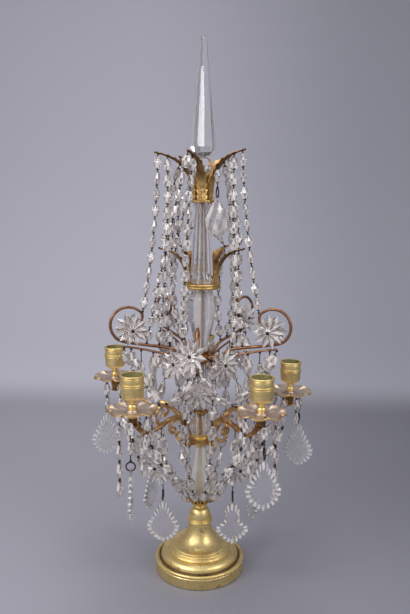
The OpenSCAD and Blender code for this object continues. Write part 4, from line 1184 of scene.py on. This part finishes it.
@dataclass
class LeafCrown:
    """Crown of cut and chased sheet leaves that rise from a ring and bend out."""

    name: str
    node: str
    root_r: float
    root_z: float
    reach: tuple[float, ...]
    rise: tuple[float, ...]
    sway: tuple[float, ...]
    width: tuple[float, ...] = (LEAF_WIDTH,) * 5
    thickness: float = 0.8
    lobes: int = 11
    cup: float = 0.3

    def build(self) -> None:
        """Builds every leaf whose reach isn't nought."""
        shape = Shape()
        for k, bearing in enumerate(VOLUTE_BEARINGS):
            if self.reach[k] > 0:
                self._leaf(shape, k, upright(bearing))
        shape.finish(self.name, [LEAF], Shading.ROUND, [self.node])

    def _leaf(self, shape: Shape, k: int, place: Matrix) -> None:
        """Adds one leaf.

        Args:
            shape: the shape.
            k: number of the leaf.
            place: bearing of the leaf.
        """
        root = self.root_r
        reach = self.reach[k]
        rise = self.rise[k]
        z = self.root_z
        along = 6 * self.lobes
        line = smooth_line([
            (root, z), (root + 0.5, z + rise * 0.25), (blend_of(root, reach, 0.12), z + rise * 0.52),
            (blend_of(root, reach, 0.34), z + rise * 0.76), (blend_of(root, reach, 0.66), z + rise * 0.92),
            (reach, z + rise)], 12)
        last = len(line) - 1

        def half(u: float) -> float:
            """Half width with pointed lobes that lean towards the tip."""
            body = blend_of(0.8, 1.08, ease(u / 0.45)) * (1 - ease((u - 0.5) / 0.52) * 0.9)
            lobe = (u * self.lobes) % 1.0
            narrow = blend_of(1, self.width[k] / LEAF_WIDTH, ease(u / 0.4))
            return LEAF_WIDTH / 2 * body * narrow * (0.7 + 0.38 * lobe)

        def at(u: float, v: float) -> Vector:
            """Point of the leaf: u runs to the tip and v from edge to edge."""
            c = 2 * v - 1
            i = min(int(u * last), last - 1)
            share = u * last - i
            point = line[i].lerp(line[i + 1], share)
            run = (line[i + 1] - line[i]).normalized()
            rib = -0.9 * math.exp(-((c / 0.16) ** 2)) * (1 - u * 0.6)
            veins = 0.28 * math.cos(FULL_TURN * (u * self.lobes - 0.9 * abs(c))) * min(abs(c) * 3, 1)
            lift = half(u) * self.cup * c * c + rib + veins
            radius = point[0] - lift * run[1]
            height = point[1] + lift * run[0] if u > 0 else z
            turn = math.radians(self.sway[k]) * ease(u)
            y = half(u) * c
            x = radius * math.cos(turn) - y * math.sin(turn)
            return Vector((x, radius * math.sin(turn) + y * math.cos(turn), height))

        shape.sheet(at, along, 12, self.thickness, place, lambda u, v: ease((0.62 - u) / 0.5))


@dataclass
class CandleArm:
    """One scrolled arm with its petalled sheath, and the cup at its end."""

    k: int
    drop: float = 0.0
    root_r: float = 12.0
    reach: float = ARM_REACH
    root_z: float = 171.0
    rise: float = 66.0
    arm_r: float = 2.7
    end_r: float = 3.9
    swell_from: float = 0.66
    pan_h: float = 4.0
    cup_r: float = 13.0
    cup_foot: float = 15.4
    cup_h: float = 24.0
    cup_bore: float = 11.5
    bore_d: float = 20.0
    stud_r: float = 2.0
    line: tuple[tuple[float, float], ...] = (
        (0, 0), (0.01, 0), (0.02, 0), (0.045, 0.03), (0.085, 0.2), (0.17, 0.43), (0.29, 0.605),
        (0.43, 0.64), (0.575, 0.575), (0.75, 0.545), (0.885, 0.645), (0.965, 0.83), (1, 0.92),
        (1, 0.96), (1, 0.998))
    scroll: tuple[tuple[float, float], ...] = (
        (0.53, 0.6), (0.63, 0.66), (0.67, 0.78), (0.625, 0.9), (0.54, 0.93), (0.465, 0.875),
        (0.455, 0.79), (0.5, 0.755))
    curl: tuple[tuple[float, float], ...] = (
        (0.31, 0.6), (0.41, 0.55), (0.425, 0.43), (0.375, 0.36), (0.335, 0.41), (0.365, 0.46))
    hub_curl: tuple[tuple[float, float], ...] = (
        (0.06, 0.13), (0.09, -0.02), (0.16, -0.06), (0.2, 0.02), (0.165, 0.08))

    def droop(self, radius: float) -> float:
        """How far the arm hangs down at a radius."""
        return self.drop * ease((radius - self.root_r - 4) / (self.reach - self.root_r - 14))

    def path(self, shares: Sequence[tuple[float, float]], steps: int) -> list[Vector]:
        """Smooth line through shares of the arm's reach and rise.

        Args:
            shares: the shares.
            steps: parts of each stretch.

        Returns:
            The line's points in the arm's own plane.
        """
        points = []
        for out, up in shares:
            radius = blend_of(self.root_r, self.reach, out)
            points.append((radius, 0, self.root_z + up * self.rise - self.droop(radius)))
        return smooth_line(points, steps)

    def build(self) -> None:
        """Builds the arm and its cup."""
        self._arm()
        self._cup()

    def _arm(self) -> None:
        """Main stem, two scrolls, a curl at the hub and the sheath under the pan."""
        shape = Shape()
        place = upright(ARM_BEARINGS[self.k])
        main = self.path(self.line, 6)
        last = len(main) - 1
        radii = []
        for i in range(last + 1):
            t = i / last
            if t < self.swell_from:
                radii.append(blend_of(self.arm_r * 1.15, self.arm_r, t / self.swell_from))
            else:
                radii.append(blend_of(self.arm_r, self.end_r, ease((t - self.swell_from) / 0.26)))
        shape.tube(main, radii, place)
        for shares in (self.scroll, self.curl, self.hub_curl):
            line = self.path(shares, 6)
            shape.tube(line, taper(line, self.arm_r * 0.82, self.arm_r * 0.5, 2), place)
            shape.bead(self.arm_r * 0.78, place @ Matrix.Translation(line[-1]), 2)
        top = self.root_z + self.rise - self.drop
        end = upright(ARM_BEARINGS[self.k], self.reach, top)
        sheath = PetalCup(foot_r=3.4, rim_r=6.2, height=12.0, petals=6, cut=0.45, thickness=0.8, curl=0.6)
        sheath.form(shape, end @ Matrix.Translation((0, 0, -12.2)), 1)
        collar = [(2.0, -15.2), (4.3, -15.2)] + arc((4.1, -14.0), 1.2, -90, 90, 6) + [(2.0, -12.8)]
        shape.revolve(collar, 24, end, material=1)
        spur = smooth_line([(0, 0, 0), (2.2, 0, 1.6), (3.0, 0, 5.0), (1.2, 0, 7.6)], 4)
        at_spur = place @ Matrix.Translation(main[int(last * 0.8)])
        shape.tube(spur, taper(spur, 2.2, 0.8), at_spur, 1)
        name = ARM_NAMES[self.k]
        shape.finish("scrolled_arm_" + name, [ARM_GILT, BRONZE], Shading.ROUND, ["arm_" + name])

    def _cup(self) -> None:
        """Turned candle cup with a knobbed foot, a double band and a beaded mouth."""
        shape = Shape()
        r = self.cup_r
        bore = self.cup_bore
        rim = self.cup_foot + self.cup_h
        floor = rim - self.bore_d
        mid = self.cup_foot + 12.5
        outline = [(0, 0), (4.4, 0), (4.6, 0.6)]
        outline += arc((1.6, 3.5), 3.9, -44, 44, 8)
        outline += [(3.2, 7.0), (3.0, 7.9), (3.0, 8.8), (3.8, 10.0), (5.8, 11.0)]
        outline += arc((r - 6.6, self.cup_foot + 2.0), 6.2, -80, 0, 10)
        outline += [(r - 0.3, mid - 2.6)]
        for band in (mid - 1.2, mid + 1.2):
            outline += arc((r - 0.3, band), 1.0, -90, 90, 6)
        outline += [(r - 0.3, mid + 2.6), (r - 0.2, rim - 4.6)]
        outline += arc((r - 0.5, rim - 3.2), 0.8, -80, 70, 5)
        outline += arc((r - 0.2, rim - 1.1), 1.1, -70, 100, 7)
        outline += [(bore, rim - 0.3), (bore, floor + 0.4), (bore - 0.6, floor), (0, floor)]

        def inside(at: Vector) -> bool:
            """Whether a face lines the bore."""
            return radius_of(at) < bore + 0.1 and at.z > floor - 0.2

        top = self.root_z + self.rise + self.pan_h - self.drop
        place = upright(ARM_BEARINGS[self.k], self.reach, top)
        shape.revolve(outline, 72, place, lining=inside)
        shape.revolve(ring_outline(0, self.stud_r, -self.pan_h, 0.5), 24, place)
        name = ARM_NAMES[self.k]
        shape.finish("candle_cup_" + name, [BRASS, VERDIGRIS], Shading.CRISP, ["cup_" + name])


@dataclass
class DripPans:
    """Petalled sheet pans under the cups, one piece for all five."""

    reach: float = ARM_REACH
    z: float = 237.0
    drops: tuple[float, ...] = ARM_DROPS
    outer_r: float = 28.0
    boss_r: float = 6.5
    boss_h: float = 4.0
    thickness: float = 1.2
    petals: int = 8
    scallop: float = 0.14
    rise: float = 2.2
    ruffle: float = 2.4
    hole_r: float = 2.1

    def build(self) -> None:
        """Builds the pans."""
        shape = Shape()
        for bearing, drop in zip(ARM_BEARINGS, self.drops):
            place = upright(bearing, self.reach, self.z - drop)
            shape.sheet(self._skin, 12 * self.petals, 12, self.thickness, place, lambda u, v: v ** 7)
            boss = [(self.hole_r, 0), (self.boss_r - 0.4, 0), (self.boss_r, 0.5)]
            boss += [(self.boss_r, self.boss_h - 0.5), (self.boss_r - 0.5, self.boss_h)]
            boss += [(self.hole_r, self.boss_h)]
            shape.revolve(boss, 40, place)
        shape.finish("petalled_pans", [PATINA], Shading.ROUND, ["drip_pans"])

    def _skin(self, u: float, v: float) -> Vector:
        """Point of a pan: u goes round it and v from its boss to its edge."""
        turn = u * FULL_TURN
        petal = abs(math.cos(turn * self.petals / 2))
        edge = self.outer_r * (1 - self.scallop * (1 - petal ** 0.7))
        radius = blend_of(self.boss_r - 0.8, edge, v)
        lift = (self.rise + self.ruffle * (1 - petal)) * v * v
        ridge = 0.55 * math.cos(turn * self.petals) * math.sin(math.pi * min(v * 1.1, 1))
        fine = 0.16 * math.cos(turn * self.petals * 5) * v * (1 - v ** 8)
        height = self.boss_h / 2 + lift + ridge + fine
        return Vector((radius * math.cos(turn), radius * math.sin(turn), height))


@dataclass
class Volute:
    """Wire branch that curls into a volute, with the hook wire below it."""

    k: int
    sag: float = 0.0
    reach: float = 90.0
    z: float = 322.0
    radius: float = 21.0
    root_r: float = 11.8
    flat_r: float = 11.0
    root_z: float = 278.0
    wire_r: float = 1.8
    foot_t: float = 2.4

    def build(self) -> None:
        """Builds the wires and the round foot that they spring from."""
        shape = Shape()
        place = upright(VOLUTE_BEARINGS[self.k])
        centre = Vector((self.reach, 0, self.z - self.sag))
        root = Vector((self.root_r, 0, self.root_z + self.wire_r * 0.6))
        points = [root, root + Vector((2.5, 0, 0)), root + Vector((6, 0, 0.3)),
                  root.lerp(centre, 0.18) + Vector((0, 0, -4.5)),
                  root.lerp(centre, 0.36) + Vector((0, 0, -3.5)),
                  root.lerp(centre, 0.72) - Vector((0, 0, self.radius * 0.65))]
        for angle in range(-70, 141, 35):
            a = math.radians(angle)
            points.append(centre + self.radius * Vector((math.cos(a), 0, math.sin(a))))
        for x, z in ((-0.78, 0.25), (-0.55, -0.1), (-0.18, -0.28)):
            points.append(centre + self.radius * Vector((x, 0, z)))
        main = smooth_line(points, 6)
        shape.tube(main, taper(main, self.wire_r * 1.15, self.wire_r * 0.9), place)
        shape.bead(self.wire_r * 1.3, place @ Matrix.Translation(main[-1]), 2)
        low = Vector((self.root_r, 0, self.root_z - self.wire_r * 1.9))
        tip = Vector((self.reach + 5, 0, self.root_z + (self.z - self.root_z) * 0.4 - self.sag))
        hook = smooth_line([low, low + Vector((2.5, 0, 0)), low + Vector((6, 0, 0.1)),
                            low.lerp(tip, 0.18) + Vector((0, 0, -0.6)),
                            low.lerp(tip, 0.4) + Vector((0, 0, 1)),
                            low.lerp(tip, 0.75) + Vector((0, 0, 1.4)), tip], 6)
        shape.tube(hook, taper(hook, self.wire_r * 0.9, self.wire_r * 0.7), place)
        disc_r = self.wire_r * 2.6
        disc = [(0, 0), (disc_r, 0), (disc_r, self.foot_t - 0.6)]
        disc += [(disc_r - 0.6, self.foot_t), (0, self.foot_t)]
        flat = Matrix.Translation((self.flat_r, 0, self.root_z - self.wire_r * 0.65))
        turn = flat @ Matrix.Rotation(math.pi / 2, 4, "Y")
        shape.revolve(disc, 32, place @ turn)
        name = VOLUTE_NAMES[self.k]
        shape.finish("wire_volute_" + name, [COPPER], Shading.ROUND, ["volute_" + name])


@dataclass(frozen=True)
class Drape:
    """Short string that hangs between two points and sags in the middle."""

    start: Vector
    end: Vector
    sag: float = 6.0
    almonds: int = 2
    loose: bool = False

    def at(self, share: float) -> Vector:
        """Point at that share of the string."""
        return self.start.lerp(self.end, share) - Vector((0, 0, 4 * share * (1 - share) * self.sag))

    def place(self, share: float) -> Matrix:
        """Place at that share, with Z along the string."""
        run = self.at(share + 0.01) - self.at(share - 0.01)
        return facing(self.at(share), run, "Z", "X")

    def pitch(self) -> float:
        """Length of string for each almond."""
        cuts = 12
        line = [self.at(i / cuts) for i in range(cuts + 1)]
        return sum((b - a).length for a, b in zip(line, line[1:])) / self.almonds


@dataclass
class PanDrapes:
    """Strings below the pans, tied to their pendants: to the basket's rosettes, and two that hang loose."""

    inner_r: float = 104.5
    inner_side: float = 15.0
    outer_side: float = 21.3
    tie_z: float = 197.0
    rosette_r: float = 81.0
    rosette_side: float = 21.5
    rosette_z: float = 160.5
    rosette_droop: float = 0.61
    fall: float = 66.0
    fall_almonds: int = 3

    def strings(self) -> tuple[Drape, ...]:
        """Lays out the strings.

        Returns:
            The ten that end at the rosettes, then the two loose ones at the outer sides of the front pans.
        """
        found = []
        for bearing, drop in zip(ARM_BEARINGS, ARM_DROPS):
            for side in (-1, 1):
                start = Vector((self.inner_r, self.inner_side * side, self.tie_z - drop))
                rim_z = self.rosette_z - self.rosette_droop * drop
                end = Vector((self.rosette_r, self.rosette_side * side, rim_z))
                found.append(Drape(upright(bearing) @ start, upright(bearing) @ end))
        for k, side in ((0, 1), (4, -1)):
            top = upright(ARM_BEARINGS[k]) @ Vector((ARM_REACH, self.outer_side * side, self.tie_z))
            found.append(Drape(top, top - Vector((0, 0, self.fall)), 0.0, self.fall_almonds, True))
        return tuple(found)


@dataclass
class StrungAlmonds:
    """Cut almonds of one set of strings and the wire pins between them."""

    name: str
    almonds: str
    pins: str
    swell: float = 1.22
    wire_r: float = 0.6
    loop_r: float = 1.8
    hold: float = 0.2
    least_pin: float = 1.0
    drapes: tuple[Drape, ...] = ()
    drape_size: tuple[float, float, float] = (20.0, 12.6, 8.0)

    def build(self) -> None:
        """Cuts an almond at each solid of the strings and bends a pin at each solid of the pins.

        The draped strings follow, almond by almond and pin by pin.
        """
        glass = Shape()
        for solid in solids_of(self.almonds):
            length, width, thick = (side * self.swell for side in solid.size)
            glass.gem(width, thick, length, solid.place())
        length, width, thick = self.drape_size
        for drape in self.drapes:
            for i in range(drape.almonds):
                glass.gem(width, thick, length, drape.place((i + 0.5) / drape.almonds))
        # Facets alternate between the tinted glass with painted darks and the painted glint.
        glass.finish(self.name + "_cut_almonds", [ALMOND_TINT_PAINTED_DARKS, PAINTED_GLINT], Shading.FACETED, [self.almonds])
        wire = Shape()
        for solid in solids_of(self.pins):
            self._pin(wire, solid.size[0] / 2 + self.hold, solid.place())
        for drape in self.drapes:
            half = max((drape.pitch() - length) / 2, self.least_pin) + self.hold
            for i in range(drape.almonds + (0 if drape.loose else 1)):
                self._pin(wire, half, drape.place(i / drape.almonds))
        wire.finish(self.name + "_hooked_pins", [PIN_WIRE], Shading.ROUND, [self.pins])

    def _pin(self, wire: Shape, half: float, place: Matrix) -> None:
        """Bends one pin with a hooked end on either side of its place.

        Args:
            wire: the shape.
            half: half its length.
            place: its middle, with Z along it.
        """
        wire.revolve(ring_outline(0, self.wire_r, -half, half), 6, place, closed=False)
        for end in (-half, half):
            wire.bead(self.loop_r, place @ Matrix.Translation((0, 0, end)))


@dataclass
class GlassRosettes:
    """Ten-pointed stars of cut glass with ridged petals and a dark eye, each on its pin."""

    petals: int = 10
    radius: float = 20.0
    half_t: float = 4.5
    valley: float = 0.62
    ridge: float = 4.0
    pin_r: float = 0.9
    pin_hold: float = 1.0
    eye: tuple[tuple[float, float], ...] = ((0, 3.4), (1.9, 3.4), (2.1, 4.2), (1.3, 5.0), (0, 5.3))

    def build(self) -> None:
        """Builds a star at each rosette of the CAD, facing away from its pin."""
        pins = solids_of("rosette_pins")
        glass = Shape()
        studs = Shape()
        for solid in solids_of("rosettes"):
            pin = min(pins, key=lambda p: (p.middle - solid.middle).length)
            front = solid.axes[2]
            if front.dot(solid.middle - pin.middle) < 0:
                front = -front
            place = facing(solid.middle, front, "Z", "Y")
            self._star(glass, place)
            studs.revolve(list(self.eye), 12, place, closed=False)
        # One flank of each petal takes the painted glint, the other the tinted glass with painted darks.
        glass.finish("cut_rosettes", [ALMOND_TINT_PAINTED_DARKS, PAINTED_GLINT], Shading.FACETED, ["rosettes"])
        for pin in pins:
            half = pin.size[0] / 2 + self.pin_hold
            studs.revolve(ring_outline(0, self.pin_r, -half, half), 10, pin.place(), closed=False)
        studs.finish("rosette_wires", [PIN_WIRE], Shading.ROUND, ["rosette_pins"])

    def _star(self, glass: Shape, place: Matrix) -> None:
        """Adds one star facing along Z.

        Args:
            glass: the shape.
            place: middle and facing of the star.
        """
        r = self.radius
        t = self.half_t
        outline = [(0, -t), (r * 0.28, -t), (r * 0.66, -t * 0.3), (r, t * 0.3), (r * 0.97, t * 0.42),
                   (r * 0.62, t * 0.3), (r * 0.36, -t * 0.05), (r * 0.24, t * 0.5), (0, t * 0.85)]

        def petal(at: Vector) -> Vector:
            """Draws the rim in between the petals and lifts their ridges."""
            radius = radius_of(at)
            if radius < r * 0.25:
                return at
            swell = abs(math.cos(turn_of(at) * self.petals / 2)) ** 0.8
            out = ease((radius / r - 0.25) / 0.5)
            keep = 1 - (1 - self.valley) * (1 - swell) * out
            lift = self.ridge * (swell - 0.5) * math.sin(math.pi * min(radius / r, 0.92))
            return Vector((at.x * keep, at.y * keep, at.z + (lift if at.z > -t * 0.2 else 0.0)))

        glass.revolve(outline, 2 * self.petals, place, closed=False, form=petal, lining=self._painted_glint_flank)

    def _painted_glint_flank(self, at: Vector) -> bool:
        """Whether a facet lies on the flank of its petal that takes the painted glint."""
        flank = math.floor(turn_of(at) / math.pi * self.petals)
        return flank % 2 == 0 and at.z > -self.half_t * 0.3


@dataclass
class HangingPlaque:
    """Spade-shaped or waisted plate with a scalloped, ribbed bevel, on the ring that it swings from."""

    node: str
    joint: dict[str, Any]
    height: float
    width: float
    side: Outline
    edge_t: float = 2.2
    table_t: float = 4.4
    table: float = 0.74
    hole_r: float = 1.7
    hole_drop: float = 5.0
    eye_r: float = 3.7
    neck: float = 2.3
    scallops: int = 22
    cuts: int = 8
    depth: float = 1.5
    rib: float = 1.1
    painted_rib_span: tuple[float, float] = (0.26, 0.62)
    face: GlassFinish = CLEAR

    def _on_rib(self, at: Vector) -> bool:
        """Whether a point of the turned disc is on one of the bevel's ribs that take the painted highlight.
        """
        i = (turn_of(at) / FULL_TURN * self.scallops) % 1.0
        return radius_of(at) > self.table and self.painted_rib_span[0] < i < self.painted_rib_span[1]

    def crown(self, i: int) -> float:
        """Height of the scallops, from 0 in a notch to 1 on a crown, at point i of the edge."""
        return abs(math.sin(math.pi * i / self.cuts))

    def edge(self) -> list[Vector]:
        """Draws the edge round the plate, down one side and up the other.

        Returns:
            Evenly spaced points, as distance from the middle line and height over the hole.
        """
        reach = self.height - self.hole_drop - self.neck
        right = smooth_line([(x * self.width / 2, -self.neck - s * reach) for x, s in self.side], 24)
        line = right + [Vector((-p.x, p.y)) for p in reversed(right[:-1])]
        line.append(line[0])
        run = np.cumsum([0.0] + [(b - a).length for a, b in zip(line, line[1:])])
        count = self.scallops * self.cuts
        spots = np.arange(count) * run[-1] / count
        even = np.stack([np.interp(spots, run, [p[j] for p in line]) for j in (0, 1)], axis=1)
        points = []
        for i in range(count):
            along = Vector(even[(i + 1) % count] - even[i - 1]).normalized()
            press = self.depth * (1 - self.crown(i)) * ease(min(i, count - i) / count / 0.09)
            points.append(Vector(even[i]) - press * Vector((-along.y, along.x)))
        return points

    def build(self) -> None:
        """Builds the plate, from its edge in to the flat table, and the eye that its ring goes through."""
        shape = Shape()
        edge = self.edge()
        middle = Vector((0, -self.neck - 0.52 * self.height))
        ridge = (1 + self.table) / 2

        def cut(at: Vector) -> Vector:
            """Stretches the turned disc to the plate's edge and raises the ribs of the bevel."""
            radius = radius_of(at)
            i = round(turn_of(at) / FULL_TURN * len(edge)) % len(edge)
            flat = middle + (edge[i] - middle) * radius
            swell = self.rib * (self.crown(i) - 0.5) if abs(radius - ridge) < 0.01 else 0.0
            return Vector((at.z + math.copysign(swell, swell * at.z), flat.x, flat.y))

        top = self.table_t / 2
        low = self.edge_t / 2
        front = [(0, top), (self.table, top), (ridge, blend_of(low, top, 0.6)), (1, low)]
        disc = front + [(r, -t) for r, t in reversed(front)]
        axis = Vector(self.joint["axis"])
        hole = Vector(self.joint["pos_m"]) / MM
        place = Matrix.Translation(hole) @ Matrix.Rotation(turn_of(axis), 4, "Z")
        shape.revolve(disc, len(edge), place, closed=False, form=cut, lining=self._on_rib)
        eye = ring_outline(self.hole_r, self.eye_r, -low, low)
        shape.revolve(eye, 24, place @ Matrix.Rotation(math.pi / 2, 4, "Y"))
        # The ribs of the bevel take the second finish, a painted highlight.
        shape.finish("scalloped_" + self.node, [self.face, PAINTED_HIGHLIGHT], Shading.CRISP, [self.node],
                     self.joint["child"])


@dataclass
class LargeDrop:
    """Large faceted almond under a right-hand leaf, swinging on its ring."""

    node: str
    joint: dict[str, Any]
    width: float = 30.0
    thick: float = 11.0
    sides: int = 12
    bands: int = 6
    power: float = 0.62
    sag: float = 0.14
    neck: float = 2.6
    longer: float = 5.0
    hole_r: float = 1.7
    lug_r: float = 3.6
    lug_t: float = 2.2

    def build(self) -> None:
        """Cuts the drop and the thin neck that its hole goes through."""
        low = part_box(self.node)[0]
        shape = Shape()
        at = Vector(self.joint["pos_m"]) / MM
        axis = Vector(self.joint["axis"])
        turn = Matrix.Rotation(turn_of(axis) - math.pi / 2, 4, "Z")
        top = at.z - self.neck
        bottom = low.z / MM - self.longer
        middle = Matrix.Translation((at.x, at.y, (top + bottom) / 2))
        shape.gem(self.width, self.thick, top - bottom, middle @ turn,
                  self.sides, self.bands, self.power, self.sag)
        lug = ring_outline(self.hole_r, self.lug_r, -self.lug_t / 2, self.lug_t / 2)
        shape.revolve(lug, 20, Matrix.Translation(at) @ turn @ Matrix.Rotation(math.pi / 2, 4, "X"))
        # Every other facet of the drop takes the painted glint.
        shape.finish("faceted_drop", [CLEAR, PAINTED_GLINT], Shading.FACETED, [self.node], self.joint["child"])


@dataclass
class Studio:
    """Seamless grey paper, soft lamps and a camera in front, in metres and degrees."""

    focal_px: float = 624.487
    long_side_px: float = 614.0
    distance: float = 0.7504
    height: float = 0.4607
    side: float = 0.00089
    pitch: float = 9.134
    roll: float = 0.544
    yaw: float = 0.25
    turn: float = 2.58
    paper_w: float = 6.0
    aim_z: float = 0.3
    surround: Colour = (0.5, 0.5, 0.52, 1)
    surround_strength: float = 0.72

    def build(self) -> None:
        """Builds the camera, the paper and the lamps."""
        self._camera()
        self._paper()
        self._lamps()

    def _camera(self) -> None:
        """Sets the camera from its fit to the photograph."""
        p = math.radians(self.pitch)
        y = math.radians(self.yaw)
        r = math.radians(self.roll)
        ahead = Vector((math.sin(y) * math.cos(p), math.cos(y) * math.cos(p), -math.sin(p)))
        right = Vector((math.cos(y), -math.sin(y), 0))
        up = right.cross(ahead)
        level = math.cos(r) * right + math.sin(r) * up
        top = -math.sin(r) * right + math.cos(r) * up
        pose = Matrix((level, top, -ahead)).transposed().to_4x4()
        pose.translation = (self.side, -self.distance, self.height)
        data = bpy.data.cameras.new("camera")
        data.sensor_width = 36.0
        data.lens = self.focal_px / self.long_side_px * data.sensor_width
        data.clip_start = 0.01
        camera = bpy.data.objects.new("camera", data)
        camera.matrix_world = Matrix.Rotation(math.radians(self.turn), 4, "Z") @ pose
        bpy.context.scene.collection.objects.link(camera)
        bpy.context.scene.camera = camera

    def _paper(self) -> None:
        """Lays the paper on the table and sweeps it up behind."""
        shape = Shape()
        floor = [(-2.5, 0), (-0.5, 0), (0.5, 0), (0.9, 0.02), (1.25, 0.14)]
        rise = [(1.5, 0.4), (1.6, 0.8), (1.62, 1.6), (1.62, 2.6)]
        line = smooth_line(floor + rise, 6)
        last = len(line) - 1

        def at(u: float, v: float) -> Vector:
            """Point of the paper: u runs back and up, v from side to side."""
            point = line[round(u * last)]
            return Vector(((v - 0.5) * self.paper_w, point[0], point[1])) * 1000

        shape.sheet(at, last, 8, 0.0)
        mesh = bpy.data.meshes.new("paper")
        bmesh.ops.scale(shape.mesh, vec=(MM, MM, MM), verts=shape.mesh.verts)
        for face in shape.mesh.faces:
            face.smooth = True
        shape.mesh.to_mesh(mesh)
        shape.mesh.free()
        # Painted light and shade: the wall is paler than the table, and both darken to the right.
        wall = (paint(191, 190, 201), paint(160, 160, 171))
        table = (paint(154, 153, 163), paint(117, 117, 126))
        mesh.materials.append(BackdropFinish(wall, table).material())
        paper = bpy.data.objects.new("paper", mesh)
        bpy.context.scene.collection.objects.link(paper)

    def _lamps(self) -> None:
        """Hangs soft boxes at both sides, above and over the camera, in a grey surround."""
        self._box("left_box", at=(-1.15, -1.0, 1.15), size=0.8, power=14.0)
        self._box("right_box", at=(1.25, -0.9, 1.05), size=0.7, power=9.0)
        self._box("top_box", at=(0.0, 0.1, 1.7), size=0.9, power=10.5)
        self._box("front_box", at=(-0.42, -1.42, 1.02), size=0.32, power=3.2)
        world = bpy.data.worlds.new("surround")
        world.use_nodes = True
        surround = world.node_tree.nodes["Background"]
        surround.inputs["Color"].default_value = self.surround
        surround.inputs["Strength"].default_value = self.surround_strength
        bpy.context.scene.world = world
        bpy.context.scene.view_settings.view_transform = "Standard"

    def _box(self, name: str, at: tuple[float, float, float], size: float, power: float) -> None:
        """Hangs one soft box that faces the glass.

        Args:
            name: name of the lamp.
            at: where it hangs.
            size: its side.
            power: its power in watts.
        """
        data = bpy.data.lights.new(name, "AREA")
        data.shape = "SQUARE"
        data.size = size
        data.energy = power
        lamp = bpy.data.objects.new(name, data)
        aim = Vector((0, 0, self.aim_z)) - Vector(at)
        lamp.matrix_world = facing(Vector(at), aim, "-Z", "Y")
        bpy.context.scene.collection.objects.link(lamp)


def joint_of(node: str) -> dict[str, Any]:
    """Joint whose body carries a hanging node."""
    return next(j for j in frame["joints"] if j["child"] == node)


def main() -> None:
    """Builds the studio, then every sub-assembly."""
    logging.basicConfig(level=logging.INFO, format="%(name)s: %(message)s")
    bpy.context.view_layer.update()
    Studio().build()
    BrassFoot().build()
    BrassFittings().build()
    GlassStem().build()
    LeafCrown("lower_chased_leaves", "lower_crown_leaves", root_r=19.7, root_z=370.0,
              reach=(0, 53, 53, 53, 53), rise=(43,) * 5, sway=(0,) * 5).build()
    LeafCrown("upper_chased_leaves", "upper_crown_leaves", root_r=11.8, root_z=468.5,
              reach=(54, 52, 54, 54, 57.5), rise=(54, 58, 54, 54, 54), sway=(-16, 0, 0, 0, 0),
              width=(11.5,) + (LEAF_WIDTH,) * 4).build()
    for k, drop in enumerate(ARM_DROPS):
        CandleArm(k, drop).build()
    DripPans().build()
    for k, sag in enumerate(VOLUTE_SAGS):
        Volute(k, sag).build()
    StrungAlmonds("tent", "tent_almonds", "tent_pins").build()
    StrungAlmonds("swag", "swag_almonds", "swag_pins").build()
    StrungAlmonds("basket", "basket_almonds", "basket_pins", drapes=PanDrapes().strings()).build()
    GlassRosettes().build()
    for k, name in enumerate(ARM_NAMES):
        outer = "outer_plaque_" + name
        inner = "inner_plaque_" + name
        # The back outer plaques take the hazy glass, whose milky share paints light reflected off their
        # faces.
        HangingPlaque(outer, joint_of(outer), height=64.0, width=40.0, side=SPADE,
                      face=HAZE_PAINTED_REFLECTION if k in (1, 3) else CLEAR).build()
        HangingPlaque(inner, joint_of(inner), height=58.0, width=39.0,
                      side=WAISTED if k in (0, 2) else SPADE).build()
    LargeDrop("almond_drop", joint_of("almond_drop")).build()
    Finishes.dress(PIN_WIRE, "plaque_rings")
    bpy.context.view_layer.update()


if __name__ == "__main__":
    main()
